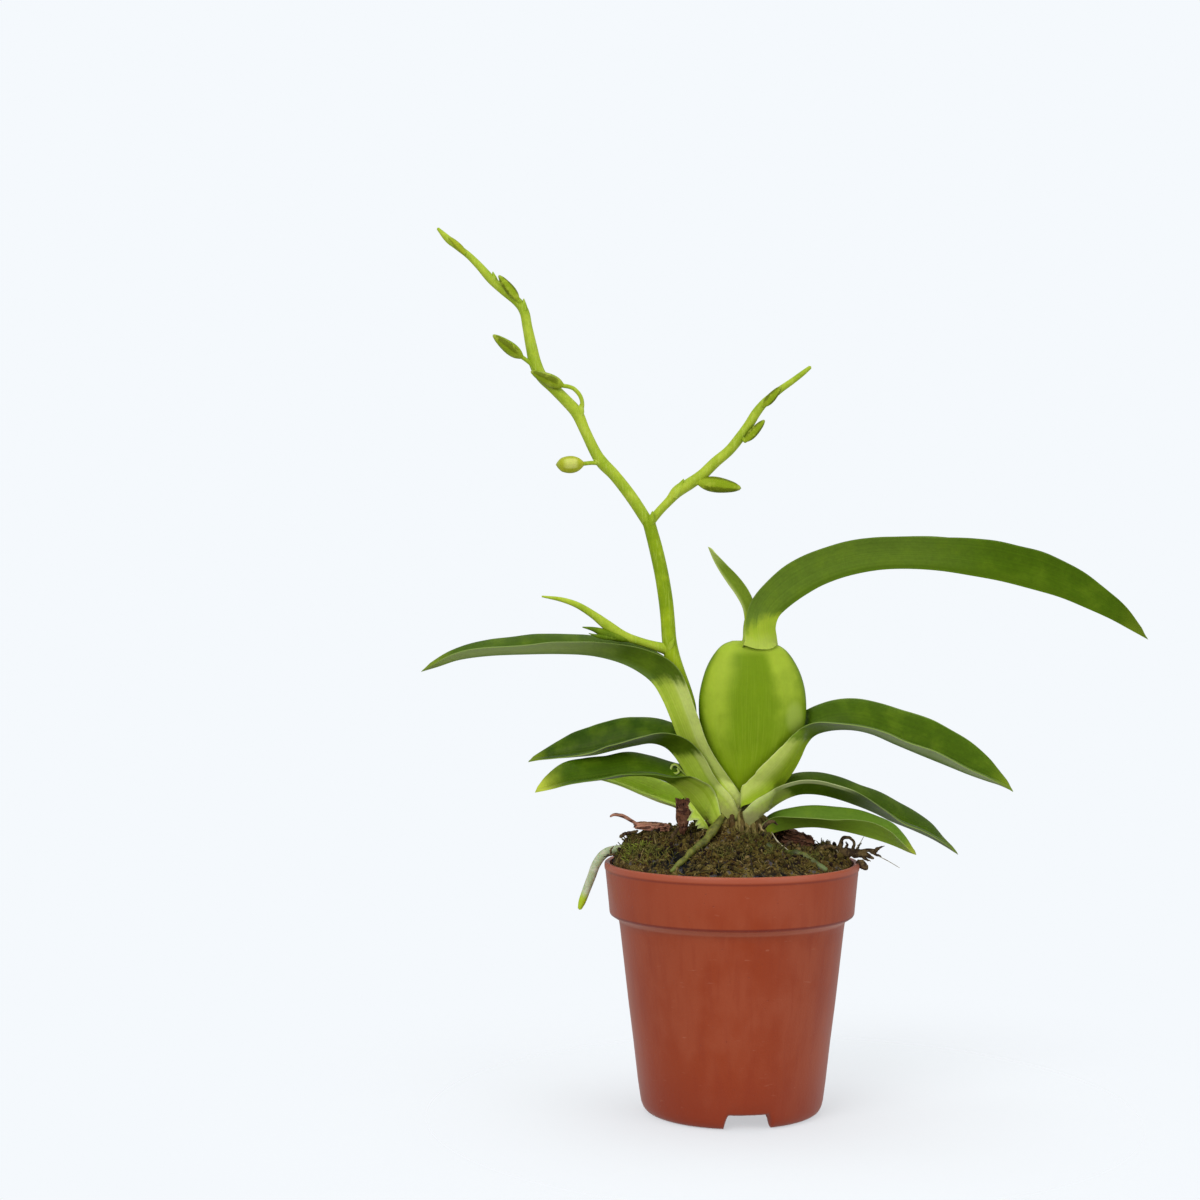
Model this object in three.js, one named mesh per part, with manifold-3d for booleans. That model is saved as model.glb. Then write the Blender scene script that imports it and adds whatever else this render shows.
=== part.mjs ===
// A small orchid in bud in a plastic nursery pot. Millimetres, +Z up.
// The pot's axis is the working axis: X to the right, Y away from the viewer, Z = 0 under the pot's foot.
import * as THREE from "three";
import { mergeVertices } from "three/addons/utils/BufferGeometryUtils.js";
import Module from "manifold-3d";

const wasm = await Module();
wasm.setup();

// Pot
const RIM_RADIUS = 25;
const POT_HEIGHT = 48.6;
const WALL = 1.1;
const COLLAR_BOTTOM = 38.9;
const COLLAR_RADIUS = 24.1;
const BODY_RADIUS = 22.3;
const FOOT_RADIUS = 16.7;
const FLOOR_UNDERSIDE = 2.8;
const FLOOR_TOP = 3.9;
const NOTCH_COUNT = 3;
const NOTCH_WIDTH = 8.4;
const NOTCH_TURN = -83;
const DRAIN_RADIUS = 2;
const DRAIN_DISTANCE = 10;
const POT_SIDES = 44;

// Gap between pieces that rest against each other, the room round what stands in a hole, the wider room round
// loose pieces, and the thickness of a leaf's blade and of its keel
const GAP = 0.32;
const ROOM = 0.42;
const WIDE_ROOM = 0.6;
const BLADE = 0.65;
const KEEL = 0.95;

// Pseudobulb: height, middle, half width, half thickness, from its base to its top
const BULB = [
  [60.1, 2.4, 1.2, 0.9],
  [61.6, 2.5, 2.6, 1.9],
  [64.0, 2.9, 4.4, 2.9],
  [66.5, 3.4, 6.1, 3.6],
  [69.5, 3.8, 8.0, 4.1],
  [73.0, 4.0, 9.7, 4.5],
  [77.0, 4.1, 10.5, 4.6],
  [81.0, 4.1, 10.5, 4.5],
  [84.5, 4.1, 9.8, 4.2],
  [87.5, 4.0, 8.6, 3.7],
  [90.0, 3.9, 6.9, 3.0],
  [91.3, 3.6, 5.2, 2.3],
  [92.0, 3.3, 3.2, 1.4],
];

// Rootstock that carries the pseudobulb, the sheaths and the roots: height, middle, half width, half depth
const ROOTSTOCK = [
  [47.5, 0.8, 2.2, 2.0],
  [50.5, 0.9, 3.4, 3.0],
  [53.5, 1.1, 3.5, 3.0],
  [56.0, 1.4, 2.9, 2.5],
  [58.3, 1.9, 2.1, 1.8],
  [59.7, 2.3, 1.2, 1.0],
];

// Leaves, from the foot of the sheath to the tip of the blade. Each row holds the keel's x, y and z, the half
// width, and how far the half towards the viewer and the half away from the viewer rise from level, in degrees.
const LEAF_LEFT_1 = [
  [-2.2, 0, 60.8, 3.9, 48, 48],
  [-4.4, 0, 63.2, 5.4, 46, 46],
  [-7.2, 0, 67.3, 5.9, 46, 46],
  [-9.4, 0, 71.5, 6.0, 46, 46],
  [-11.5, 0, 76.4, 5.6, 50, 50],
  [-13.5, 0, 80.3, 5.0, 58, 58],
  [-15.7, 0, 83.7, 5.0, 58, 60],
  [-19.0, 0, 86.2, 5.0, 52, 60],
  [-22.9, 0.3, 87.9, 5.1, 42, 58],
  [-27.9, 0.7, 89.0, 5.2, 25, 52],
  [-33.8, 1.3, 89.3, 5.2, 14, 50],
  [-40.7, 2.0, 89.2, 5.0, 10, 49],
  [-47.7, 2.6, 88.9, 4.5, 9, 45],
  [-53.7, 3.2, 88.1, 3.4, 9, 45],
  [-58.1, 3.6, 86.7, 2.2, 9, 44],
  [-61.5, 4.0, 85.7, 0.5, 5, 30],
];

const LEAF_LEFT_2 = [
  [-2.6, 0, 57.9, 4.0, 54, 54],
  [-5.6, 0, 60.8, 5.6, 54, 54],
  [-8.0, 0, 64.0, 5.9, 54, 54],
  [-9.8, 0, 67.0, 6.0, 52, 52],
  [-11.6, 0, 69.6, 6.0, 45, 54],
  [-13.4, 0.2, 71.1, 6.0, 30, 55],
  [-15.9, 0.6, 71.7, 6.0, 18, 58],
  [-19.0, 1.0, 71.2, 6.3, 16, 63],
  [-22.9, 1.6, 70.3, 6.5, 13, 65],
  [-26.9, 2.2, 69.3, 6.4, 8, 65],
  [-31.3, 2.8, 68.8, 5.4, 5, 62],
  [-34.8, 3.4, 68.5, 3.7, 5, 58],
  [-37.8, 3.8, 68.2, 1.9, 5, 50],
  [-40.2, 4.0, 67.8, 0.5, 5, 30],
];

const LEAF_LEFT_3 = [
  [-4.0, -0.4, 55.3, 3.4, 55, 55],
  [-6.5, -0.5, 57.7, 4.4, 56, 56],
  [-8.7, -0.5, 60.4, 5.0, 54, 54],
  [-10.6, -0.7, 62.8, 5.3, 40, 52],
  [-13.0, -1.0, 64.3, 5.5, 18, 46],
  [-16.1, -1.5, 65.3, 5.6, 9, 47],
  [-20.0, -2.2, 65.5, 5.8, 8, 53],
  [-23.9, -3.0, 65.0, 5.4, 11, 55],
  [-27.8, -4.0, 64.6, 5.4, 8, 54],
  [-31.7, -5.0, 64.2, 5.0, 5, 58],
  [-35.0, -5.8, 63.4, 3.4, 5, 56],
  [-36.9, -6.3, 63.0, 2.0, 5, 50],
  [-38.5, -6.6, 62.7, 0.5, 5, 30],
];

const LEAF_LEFT_4 = [
  [-5.8, 4.3, 55.2, 2.4, 20, 50],
  [-8.1, 4.6, 57.0, 3.4, 14, 52],
  [-11.0, 5.0, 58.6, 4.4, 10, 54],
  [-14.4, 5.6, 59.7, 5.0, 9, 54],
  [-17.9, 6.2, 61.1, 5.0, 8, 54],
  [-21.5, 6.8, 62.6, 4.6, 6, 52],
  [-24.7, 7.4, 63.6, 3.6, 5, 48],
  [-27.1, 7.8, 64.1, 2.0, 5, 40],
  [-29.1, 8.0, 64.4, 0.5, 5, 30],
];

const LEAF_RIGHT_1 = [
  [4.9, 0, 59.3, 4.6, 56, 56],
  [7.8, 0, 61.3, 6.9, 56, 56],
  [10.4, 0, 63.8, 7.6, 54, 54],
  [12.3, 0, 66.4, 7.2, 54, 54],
  [13.7, 0, 69.0, 6.5, 52, 54],
  [14.9, 0, 71.6, 5.9, 45, 56],
  [16.6, -0.2, 73.4, 6.0, 32, 60],
  [19.7, -0.6, 74.3, 6.7, 19, 61],
  [23.6, -1.1, 74.4, 6.9, 12, 66],
  [27.4, -1.7, 73.8, 6.9, 7, 66],
  [31.8, -2.4, 72.2, 7.0, 6, 68],
  [36.6, -3.2, 70.3, 7.2, 6, 70],
  [41.3, -4.0, 68.2, 7.0, 7, 68],
  [45.5, -4.8, 66.2, 6.2, 8, 66],
  [48.9, -5.5, 64.9, 4.7, 10, 64],
  [51.7, -6.1, 64.2, 2.2, 8, 54],
  [54.1, -6.6, 62.9, 0.5, 5, 30],
];

const LEAF_RIGHT_2 = [
  [5.5, 0, 56.8, 3.4, 52, 52],
  [7.2, 0, 58.3, 4.2, 50, 50],
  [9.4, 0, 60.0, 4.8, 44, 50],
  [11.6, 0.2, 61.1, 5.0, 40, 52],
  [14.1, 0.5, 61.7, 5.2, 37, 54],
  [17.5, 1.0, 61.5, 5.4, 33, 50],
  [21.1, 1.6, 60.6, 5.6, 30, 46],
  [24.8, 2.2, 59.3, 5.8, 23, 42],
  [28.4, 2.8, 57.8, 6.0, 13, 45],
  [32.2, 3.4, 55.9, 6.0, 8, 43],
  [36.1, 4.0, 54.3, 5.6, 8, 40],
  [39.8, 4.5, 52.6, 4.4, 6, 38],
  [42.8, 5.0, 50.9, 2.4, 5, 25],
  [45.5, 5.4, 49.2, 0.5, 5, 20],
];

const LEAF_RIGHT_3 = [
  [6.1, -1.5, 53.5, 3.0, 45, 45],
  [8.8, -2.0, 54.6, 4.2, 50, 58],
  [12.2, -2.6, 55.3, 4.6, 37, 58],
  [16.1, -3.4, 55.6, 4.8, 29, 61],
  [19.9, -4.2, 55.2, 5.0, 28, 62],
  [23.3, -5.0, 54.6, 5.2, 33, 63],
  [26.5, -5.8, 53.8, 5.2, 38, 58],
  [29.3, -6.6, 53.0, 4.6, 36, 60],
  [31.5, -7.2, 52.2, 3.6, 28, 50],
  [33.6, -7.8, 51.3, 1.9, 20, 43],
  [35.1, -8.2, 50.8, 0.5, 5, 20],
];

const LEAF_APEX_LONG = [
  [9.4, 0, 89.8, 6.4, 60, 60],
  [9.0, 0, 92.0, 6.2, 62, 62],
  [8.7, 0, 94.5, 5.2, 66, 66],
  [9.6, 0, 96.8, 5.9, 66, 68],
  [11.5, 0, 98.8, 7.2, 68, 70],
  [14.6, 0, 101.0, 7.5, 68, 72],
  [18.4, 0, 103.1, 7.3, 60, 76],
  [23.3, 0, 104.8, 7.2, 60, 76],
  [29.2, 0, 105.9, 7.0, 61, 73],
  [35.0, -0.5, 106.1, 6.9, 66, 72],
  [40.9, -1.0, 105.7, 7.1, 68, 74],
  [46.6, -1.6, 104.8, 7.7, 70, 74],
  [52.4, -2.2, 103.7, 8.0, 70, 74],
  [58.1, -3.0, 102.2, 7.9, 70, 74],
  [63.8, -3.8, 100.5, 7.0, 68, 70],
  [68.5, -4.6, 98.5, 5.8, 66, 66],
  [73.2, -5.4, 96.3, 4.3, 60, 60],
  [77.3, -6.0, 94.0, 2.4, 50, 50],
  [80.3, -6.5, 92.3, 0.5, 30, 30],
];

const LEAF_APEX_SMALL = [
  [2.3, 0, 92.6, 1.5, 45, 45],
  [2.8, 0, 94.7, 1.4, 46, 46],
  [2.9, 0, 96.9, 1.6, 50, 50],
  [2.3, 0, 98.8, 2.0, 50, 52],
  [1.1, 0.2, 101.0, 2.3, 48, 54],
  [-0.5, 0.5, 103.5, 2.2, 46, 54],
  [-2.0, 0.8, 105.9, 1.9, 44, 50],
  [-3.4, 1.1, 108.1, 1.3, 40, 46],
  [-4.6, 1.4, 110.5, 0.45, 20, 20],
];

// Split old sheath at the left of the rootstock
const OLD_SHEATH = [
  [-4.1, -3.7, 54.2, 1.6, 60, 20],
  [-5.0, -3.8, 55.4, 2.0, 60, 20],
  [-6.6, -4.0, 57.4, 2.1, 62, 20],
  [-8.0, -4.2, 59.4, 1.3, 64, 20],
];

// Flower stem: x, y, z and radius
const STALK = [
  [-2.4, 0, 64.2, 0.5],
  [-4.0, 0, 67.0, 0.7],
  [-5.6, 0, 70.0, 0.78],
  [-7.0, 0, 73.6, 0.85],
  [-7.7, 0, 76.6, 0.9],
  [-8.1, 0, 79.4, 1.0],
  [-9.2, 0, 82.5, 1.15],
  [-10.5, 0, 85.6, 1.3],
  [-11.7, 0, 88.8, 1.4],
  [-12.3, 0, 92.1, 1.3],
  [-12.6, 0, 96.1, 1.28],
  [-13.0, 0, 100.0, 1.3],
  [-13.8, 0, 105.0, 1.3],
  [-14.9, 0, 110.0, 1.25],
  [-15.9, 0, 113.8, 1.15],
  [-16.4, 0, 115.6, 1.2],
];

const BRANCH_LEFT = [
  [-16.3, 0, 115.0, 1.1],
  [-19.6, 0.3, 120.1, 1.15],
  [-22.9, 0.6, 124.4, 1.1],
  [-25.4, 0.9, 127.0, 1.15],
  [-26.9, 1.1, 129.3, 1.0],
  [-28.9, 1.4, 133.5, 0.98],
  [-30.5, 1.7, 137.0, 1.05],
  [-32.8, 1.9, 139.6, 0.95],
  [-35.2, 2.2, 142.0, 0.9],
  [-37.4, 2.5, 144.2, 0.95],
  [-38.7, 2.7, 146.8, 0.9],
  [-39.5, 2.9, 150.2, 0.85],
  [-40.3, 3.2, 154.1, 0.82],
  [-40.9, 3.4, 157.1, 0.85],
  [-42.3, 3.6, 159.2, 0.75],
  [-45.2, 3.9, 161.6, 0.7],
  [-47.6, 4.1, 163.8, 0.75],
  [-49.9, 4.3, 166.4, 0.62],
  [-52.1, 4.5, 168.6, 0.55],
  [-54.4, 4.7, 170.3, 0.6],
  [-55.8, 4.8, 171.3, 0.45],
  [-57.6, 5.0, 173.3, 0.25],
];

const BRANCH_RIGHT = [
  [-16.1, 0.2, 115.2, 0.85],
  [-14.1, 0, 117.6, 0.85],
  [-12.2, -0.3, 119.6, 0.82],
  [-10.6, -0.5, 121.4, 1.15],
  [-8.2, -0.8, 122.9, 0.95],
  [-5.8, -1.2, 124.6, 0.85],
  [-3.3, -1.6, 127.0, 0.8],
  [-0.7, -2.0, 129.2, 0.78],
  [1.3, -2.4, 131.6, 0.78],
  [3.1, -2.7, 134.1, 0.72],
  [4.5, -3.0, 136.4, 0.68],
  [6.0, -3.3, 138.3, 0.62],
  [7.6, -3.6, 139.7, 0.66],
  [9.2, -3.8, 141.0, 0.52],
  [11.5, -4.2, 142.6, 0.46],
  [13.5, -4.5, 144.1, 0.38],
  [15.0, -4.8, 145.3, 0.25],
];

const SIDE_SHOOT = [
  [-12.2, 0, 90.9, 0.9],
  [-14.9, -0.6, 91.3, 0.72],
  [-17.9, -1.2, 91.9, 0.72],
  [-21.2, -1.8, 92.9, 0.78],
  [-24.4, -2.4, 94.9, 0.95],
  [-27.2, -2.8, 97.1, 0.72],
  [-30.3, -3.2, 99.0, 0.5],
  [-33.5, -3.6, 100.1, 0.42],
  [-37.2, -4.0, 100.7, 0.22],
];

const SIDE_SHOOT_PRONG = [
  [-21.6, -1.8, 92.6, 0.6],
  [-25.0, -2.6, 93.6, 0.45],
  [-29.0, -3.4, 94.6, 0.2],
];

// Buds: the stalk's two ends, then the bud's two ends, then its radius
const BUDS = [
  { from: [-25.6, 0.9, 126.9], base: [-29.2, -0.4, 126.7], tip: [-34.4, -0.8, 126.5], radius: 1.75 },
  { from: [-38.4, 2.6, 145.6], base: [-41.3, 1.6, 147.6], tip: [-46.9, 0.8, 152.2], radius: 1.35 },
  { from: [-30.0, 1.7, 136.9], base: [-32.6, 0.4, 141.8], tip: [-39.4, 0.4, 145.0], radius: 1.35 },
  { from: [-41.4, 3.4, 158.0], base: [-42.1, 2.6, 159.4], tip: [-45.8, 2.6, 163.6], radius: 1.0 },
  { from: [-53.4, 4.6, 169.6], base: [-52.6, 4.0, 168.8], tip: [-55.6, 4.0, 171.9], radius: 0.62 },
  { from: [-9.2, -0.7, 122.3], base: [-6.0, -1.6, 123.2], tip: [1.5, -2.0, 121.9], radius: 1.35 },
  { from: [2.6, -2.6, 133.2], base: [3.0, -3.4, 131.0], tip: [6.2, -3.6, 135.2], radius: 0.85 },
  { from: [5.9, -3.3, 138.2], base: [6.3, -3.0, 138.0], tip: [9.4, -3.2, 141.8], radius: 0.75 },
];

// Bracts at the joints of the flower stem: foot, tip and radius
const BRACTS = [
  { foot: [-16.0, -0.6, 114.6], tip: [-15.6, -1.5, 117.4], radius: 0.7 },
  { foot: [-12.4, -1.0, 90.4], tip: [-11.4, -1.7, 92.4], radius: 0.6 },
  { foot: [-24.8, 0.6, 126.2], tip: [-27.2, 0.3, 127.7], radius: 0.75 },
  { foot: [-29.9, 1.4, 136.0], tip: [-29.5, 0.9, 139.2], radius: 0.8 },
  { foot: [-37.8, 2.4, 144.2], tip: [-39.6, 1.9, 147.0], radius: 0.85 },
  { foot: [-41.0, 3.2, 156.6], tip: [-40.9, 2.9, 160.6], radius: 0.75 },
  { foot: [-47.2, 3.9, 163.2], tip: [-48.0, 3.9, 166.0], radius: 0.6 },
  { foot: [-11.4, -0.8, 120.2], tip: [-9.5, -1.5, 123.7], radius: 0.85 },
  { foot: [1.2, -2.6, 131.2], tip: [2.4, -3.2, 134.6], radius: 0.6 },
];

// Roots: x, y, z and radius
const ROOT_HANGING = [
  [-19.6, -1.0, 50.6, 0.8],
  [-22.6, -1.0, 51.0, 0.85],
  [-25.0, -1.0, 50.2, 0.9],
  [-26.6, -1.0, 48.2, 0.88],
  [-27.6, -1.0, 45.6, 0.85],
  [-28.6, -1.0, 43.0, 0.8],
  [-29.4, -1.0, 40.8, 0.72],
  [-29.9, -1.0, 39.4, 0.4],
];

const ROOT_FRONT = [
  [-2.6, -5.6, 58.2, 0.7],
  [-3.6, -7.0, 56.2, 0.9],
  [-5.0, -8.8, 54.4, 0.9],
  [-6.8, -11.2, 52.9, 0.85],
  [-9.0, -14.2, 51.6, 0.8],
  [-11.0, -17.2, 50.0, 0.75],
  [-12.2, -18.8, 48.6, 0.7],
];

const ROOT_RIGHT = [
  [6.4, -7.4, 53.4, 0.6],
  [8.8, -9.4, 52.8, 0.7],
  [11.6, -11.8, 51.6, 0.7],
  [14.2, -14.0, 50.2, 0.65],
  [16.6, -15.6, 48.9, 0.6],
];

// Short roots from the rootstock into the compost: where they start, where they bend, where they end
const SHORT_ROOTS = [
  [[-0.2, -4.4, 58.6], [-0.9, -6.4, 56.2], [-1.2, -7.6, 51.4]],
  [[1.0, -4.4, 59.0], [0.9, -6.8, 56.6], [0.8, -8.2, 51.2]],
  [[2.2, -4.4, 58.8], [2.8, -6.6, 56.4], [3.0, -7.8, 51.4]],
  [[3.2, -4.4, 58.2], [4.6, -6.2, 55.8], [5.2, -7.2, 51.6]],
];
const SHORT_ROOT_RADIUS = 0.85;

// Compost: how high it stands over the rim, and its loose fibres and crumbs
const COMPOST_EDGE = 48.5;
const COMPOST_RADIUS = 22.6;
const COMPOST_RINGS = 7;
const COMPOST_SPOKES = 32;
const FIBRE_COUNT = 22;
const CRUMB_COUNT = 14;

const COLOURS = {
  pot: [0x9b4832, 0.45],
  compost: [0x3c321e, 0.95],
  bark: [0x6e4632, 0.9],
  rootstock: [0x8c8c50, 0.8],
  bulb: [0x739114, 0.4],
  leaf: [0x46641f, 0.38],
  youngLeaf: [0x6c8c30, 0.45],
  stem: [0xa0b928, 0.5],
  root: [0x6f7444, 0.8],
  oldSheath: [0xa5be46, 0.6],
};

const plant = new THREE.Group();

function place(name, geometry, finish) {
  const [color, roughness] = COLOURS[finish];
  const material = new THREE.MeshStandardMaterial({ color, roughness, metalness: 0 });
  const mesh = new THREE.Mesh(geometry, material);
  mesh.name = name;
  plant.add(mesh);
}

// Rows of numbers as one smooth curve, read at t from 0 to 1
function smooth(rows, t) {
  const at = t * (rows.length - 1);
  const i = Math.min(Math.floor(at), rows.length - 2);
  const s = at - i;
  return rows[i].map((value, k) => {
    const next = rows[i + 1][k];
    const before = i > 0 ? rows[i - 1][k] : 2 * value - next;
    const after = i < rows.length - 2 ? rows[i + 2][k] : 2 * next - value;
    const slope = (next - before) * s;
    const bend = (2 * before - 5 * value + 4 * next - after) * s * s;
    const turn = (3 * value - before - 3 * next + after) * s * s * s;
    return value + (slope + bend + turn) / 2;
  });
}

// A closed skin over a row of rings, with a fan over each end. The fold splits its faces alike on both sides.
function loft(rings, fold = rings[0].length) {
  const count = rings[0].length;
  const points = rings.flat();
  const faces = [];
  for (let i = 0; i < rings.length - 1; i++) {
    for (let j = 0; j < count; j++) {
      const a = i * count + j;
      const b = i * count + ((j + 1) % count);
      const c = a + count;
      const d = b + count;
      faces.push(...(j < fold ? [a, b, d, a, d, c] : [a, b, c, b, d, c]));
    }
  }
  for (const [first, turned] of [[0, true], [(rings.length - 1) * count, false]]) {
    const centre = points.length;
    const middle = new THREE.Vector3();
    for (let j = 0; j < count; j++) {
      middle.addScaledVector(points[first + j], 1 / count);
    }
    points.push(middle);
    for (let j = 0; j < count; j++) {
      const a = first + j;
      const b = first + ((j + 1) % count);
      faces.push(...(turned ? [centre, b, a] : [centre, a, b]));
    }
  }
  return outward(points, faces);
}

// Turns the faces of a closed skin outwards
function outward(points, faces) {
  let volume = 0;
  for (let i = 0; i < faces.length; i += 3) {
    const [a, b, c] = [points[faces[i]], points[faces[i + 1]], points[faces[i + 2]]];
    volume += a.dot(b.clone().cross(c));
  }
  const geometry = new THREE.BufferGeometry();
  geometry.setAttribute("position", new THREE.Float32BufferAttribute(points.flatMap((p) => p.toArray()), 3));
  geometry.setIndex(volume > 0 ? faces : faces.toReversed());
  return geometry;
}

function toSolid(geometry) {
  const bare = geometry.clone();
  bare.deleteAttribute("normal");
  bare.deleteAttribute("uv");
  const merged = mergeVertices(bare, 1e-4);
  return new wasm.Manifold(
    new wasm.Mesh({
      numProp: 3,
      vertProperties: new Float32Array(merged.attributes.position.array),
      triVerts: new Uint32Array(merged.index.array),
    }),
  );
}

function toGeometry(solid) {
  const mesh = solid.getMesh();
  const geometry = new THREE.BufferGeometry();
  geometry.setAttribute("position", new THREE.BufferAttribute(mesh.vertProperties, 3));
  geometry.setIndex(new THREE.BufferAttribute(mesh.triVerts, 1));
  return geometry;
}

function fuse(geometries) {
  return geometries.map(toSolid).reduce((whole, next) => whole.add(next));
}

// Takes the shapes out of a solid and keeps its largest body
function carve(solid, shapes) {
  const bodies = shapes.reduce((rest, shape) => rest.subtract(toSolid(shape)), solid).decompose();
  return bodies.reduce((best, next) => (next.volume() > best.volume() ? next : best));
}

// Which way a curve runs at t
function direction(rows, t) {
  const ahead = new THREE.Vector3(...smooth(rows, Math.min(1, t + 0.01)).slice(0, 3));
  const behind = new THREE.Vector3(...smooth(rows, Math.max(0, t - 0.01)).slice(0, 3));
  return ahead.sub(behind).normalize();
}

// -1 at the first ring, 1 at the last and 0 between them
function endOf(i, steps) {
  return i === 0 ? -1 : i === steps ? 1 : 0;
}

// A tapering round stem through rows of x, y, z and radius; extra widens it, for the hole that it stands in
function stem(rows, sides, steps, extra = 0) {
  const rings = [];
  for (let i = 0; i <= steps; i++) {
    const [x, y, z, radius] = smooth(rows, i / steps);
    const along = direction(rows, i / steps);
    const across = new THREE.Vector3(0, 1, 0).addScaledVector(along, -along.y).normalize();
    const up = along.clone().cross(across);
    const middle = new THREE.Vector3(x, y, z).addScaledVector(along, endOf(i, steps) * extra);
    const ring = [];
    for (let j = 0; j < sides; j++) {
      const angle = (2 * Math.PI * j) / sides;
      ring.push(
        middle
          .clone()
          .addScaledVector(across, (radius + extra) * Math.cos(angle))
          .addScaledVector(up, (radius + extra) * Math.sin(angle)),
      );
    }
    rings.push(ring);
  }
  return loft(rings);
}

// An upright body of oval rings, from rows of height, middle, half width and half depth
function ovalBody(rows, sides, steps, extra = 0) {
  const rings = [];
  for (let i = 0; i <= steps; i++) {
    const [z, middle, width, depth] = smooth(rows, i / steps);
    const ring = [];
    for (let j = 0; j < sides; j++) {
      const angle = (2 * Math.PI * j) / sides;
      const x = middle + (width + extra) * Math.cos(angle);
      ring.push(new THREE.Vector3(x, (depth + extra) * Math.sin(angle), z + endOf(i, steps) * extra));
    }
    rings.push(ring);
  }
  return loft(rings);
}

// How deep the pseudobulb or the rootstock is at a point of the plant's middle plane, with a little to spare
const CORE_SPARE = 0.6;
const DEPTH_SPARE = 0.25;

function coreDepth(x, z) {
  let depth = 0;
  for (const rows of [BULB, ROOTSTOCK]) {
    for (let i = 0; i < rows.length - 1; i++) {
      const [low, high] = [rows[i], rows[i + 1]];
      if (z >= low[0] && z <= high[0]) {
        const s = (z - low[0]) / (high[0] - low[0]);
        const [, middle, width, half] = low.map((value, k) => value + (high[k] - value) * s);
        const inside = 1 - ((x - middle) / (width + CORE_SPARE)) ** 2;
        depth = Math.max(depth, inside > 0 ? (half + DEPTH_SPARE) * Math.sqrt(inside) : 0);
      }
    }
  }
  return depth;
}

// A folded leaf. Its two halves rise from the keel. Where they pass the pseudobulb they lie over it, with the
// thickness of the sheaths underneath as lift. Turn is 1 for a leaf to the right and -1 for one to the left.
const HALF_STEPS = 3;
const BOW = 22;

function leafGeometry(rows, turn, steps, lift = 0, extra = 0) {
  const rings = [];
  for (let i = 0; i <= steps; i++) {
    const t = i / steps;
    const [x, y, z, width, near, far] = smooth(rows, t);
    const along = direction(rows, t);
    const across = new THREE.Vector3(0, 1, 0).addScaledVector(along, -along.y).normalize();
    const up = along.clone().cross(across).multiplyScalar(turn);
    const keel = new THREE.Vector3(x, y, z).addScaledVector(along, endOf(i, steps) * extra);
    const mitre = Math.min(1.6, 1 / Math.cos(THREE.MathUtils.degToRad((near + far) / 2)));
    const under = [];
    const over = [];
    for (const [side, angle] of [[-1, near], [1, far]]) {
      const point = new THREE.Vector2();
      const outer = [];
      const inner = [];
      for (let k = 0; k < HALF_STEPS; k++) {
        const bend = BOW * (0.5 - (k + 0.5) / HALF_STEPS);
        const rise = THREE.MathUtils.degToRad(angle + bend);
        point.x += (width / HALF_STEPS) * Math.cos(rise);
        point.y += (width / HALF_STEPS) * Math.sin(rise);
        const farOut = point.x + extra * Math.sin(rise);
        const farIn = Math.max(0.12, point.x - (BLADE + extra) * Math.sin(rise));
        const outside = keel
          .clone()
          .addScaledVector(across, side * farOut)
          .addScaledVector(up, point.y - extra * Math.cos(rise));
        const inside = keel
          .clone()
          .addScaledVector(across, side * farIn)
          .addScaledVector(up, point.y + (BLADE + extra) * Math.cos(rise));
        const clearOut = coreDepth(outside.x, outside.z);
        const clearIn = coreDepth(inside.x, inside.z);
        if (clearIn > 0) {
          inside.y = side * Math.max(side * inside.y, clearIn + GAP + lift - extra);
        }
        if (clearOut > 0) {
          outside.y = side * Math.max(side * outside.y, clearOut + GAP + lift + BLADE + extra);
        }
        outer.push(outside);
        inner.push(inside);
      }
      under.push(outer);
      over.push(inner);
    }
    const crest = keel.clone().addScaledVector(up, KEEL * mitre + extra);
    const spine = keel.clone().addScaledVector(up, -extra * mitre);
    rings.push([
      ...under[0].toReversed(),
      spine,
      ...under[1],
      ...over[1].toReversed(),
      crest,
      ...over[0],
    ]);
  }
  return loft(rings, 2 * HALF_STEPS);
}

// Seeded random numbers
function randomFrom(seed) {
  let state = seed;
  return (low, high) => {
    state = (state * 1664525 + 1013904223) % 4294967296;
    return low + ((high - low) * state) / 4294967296;
  };
}

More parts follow.
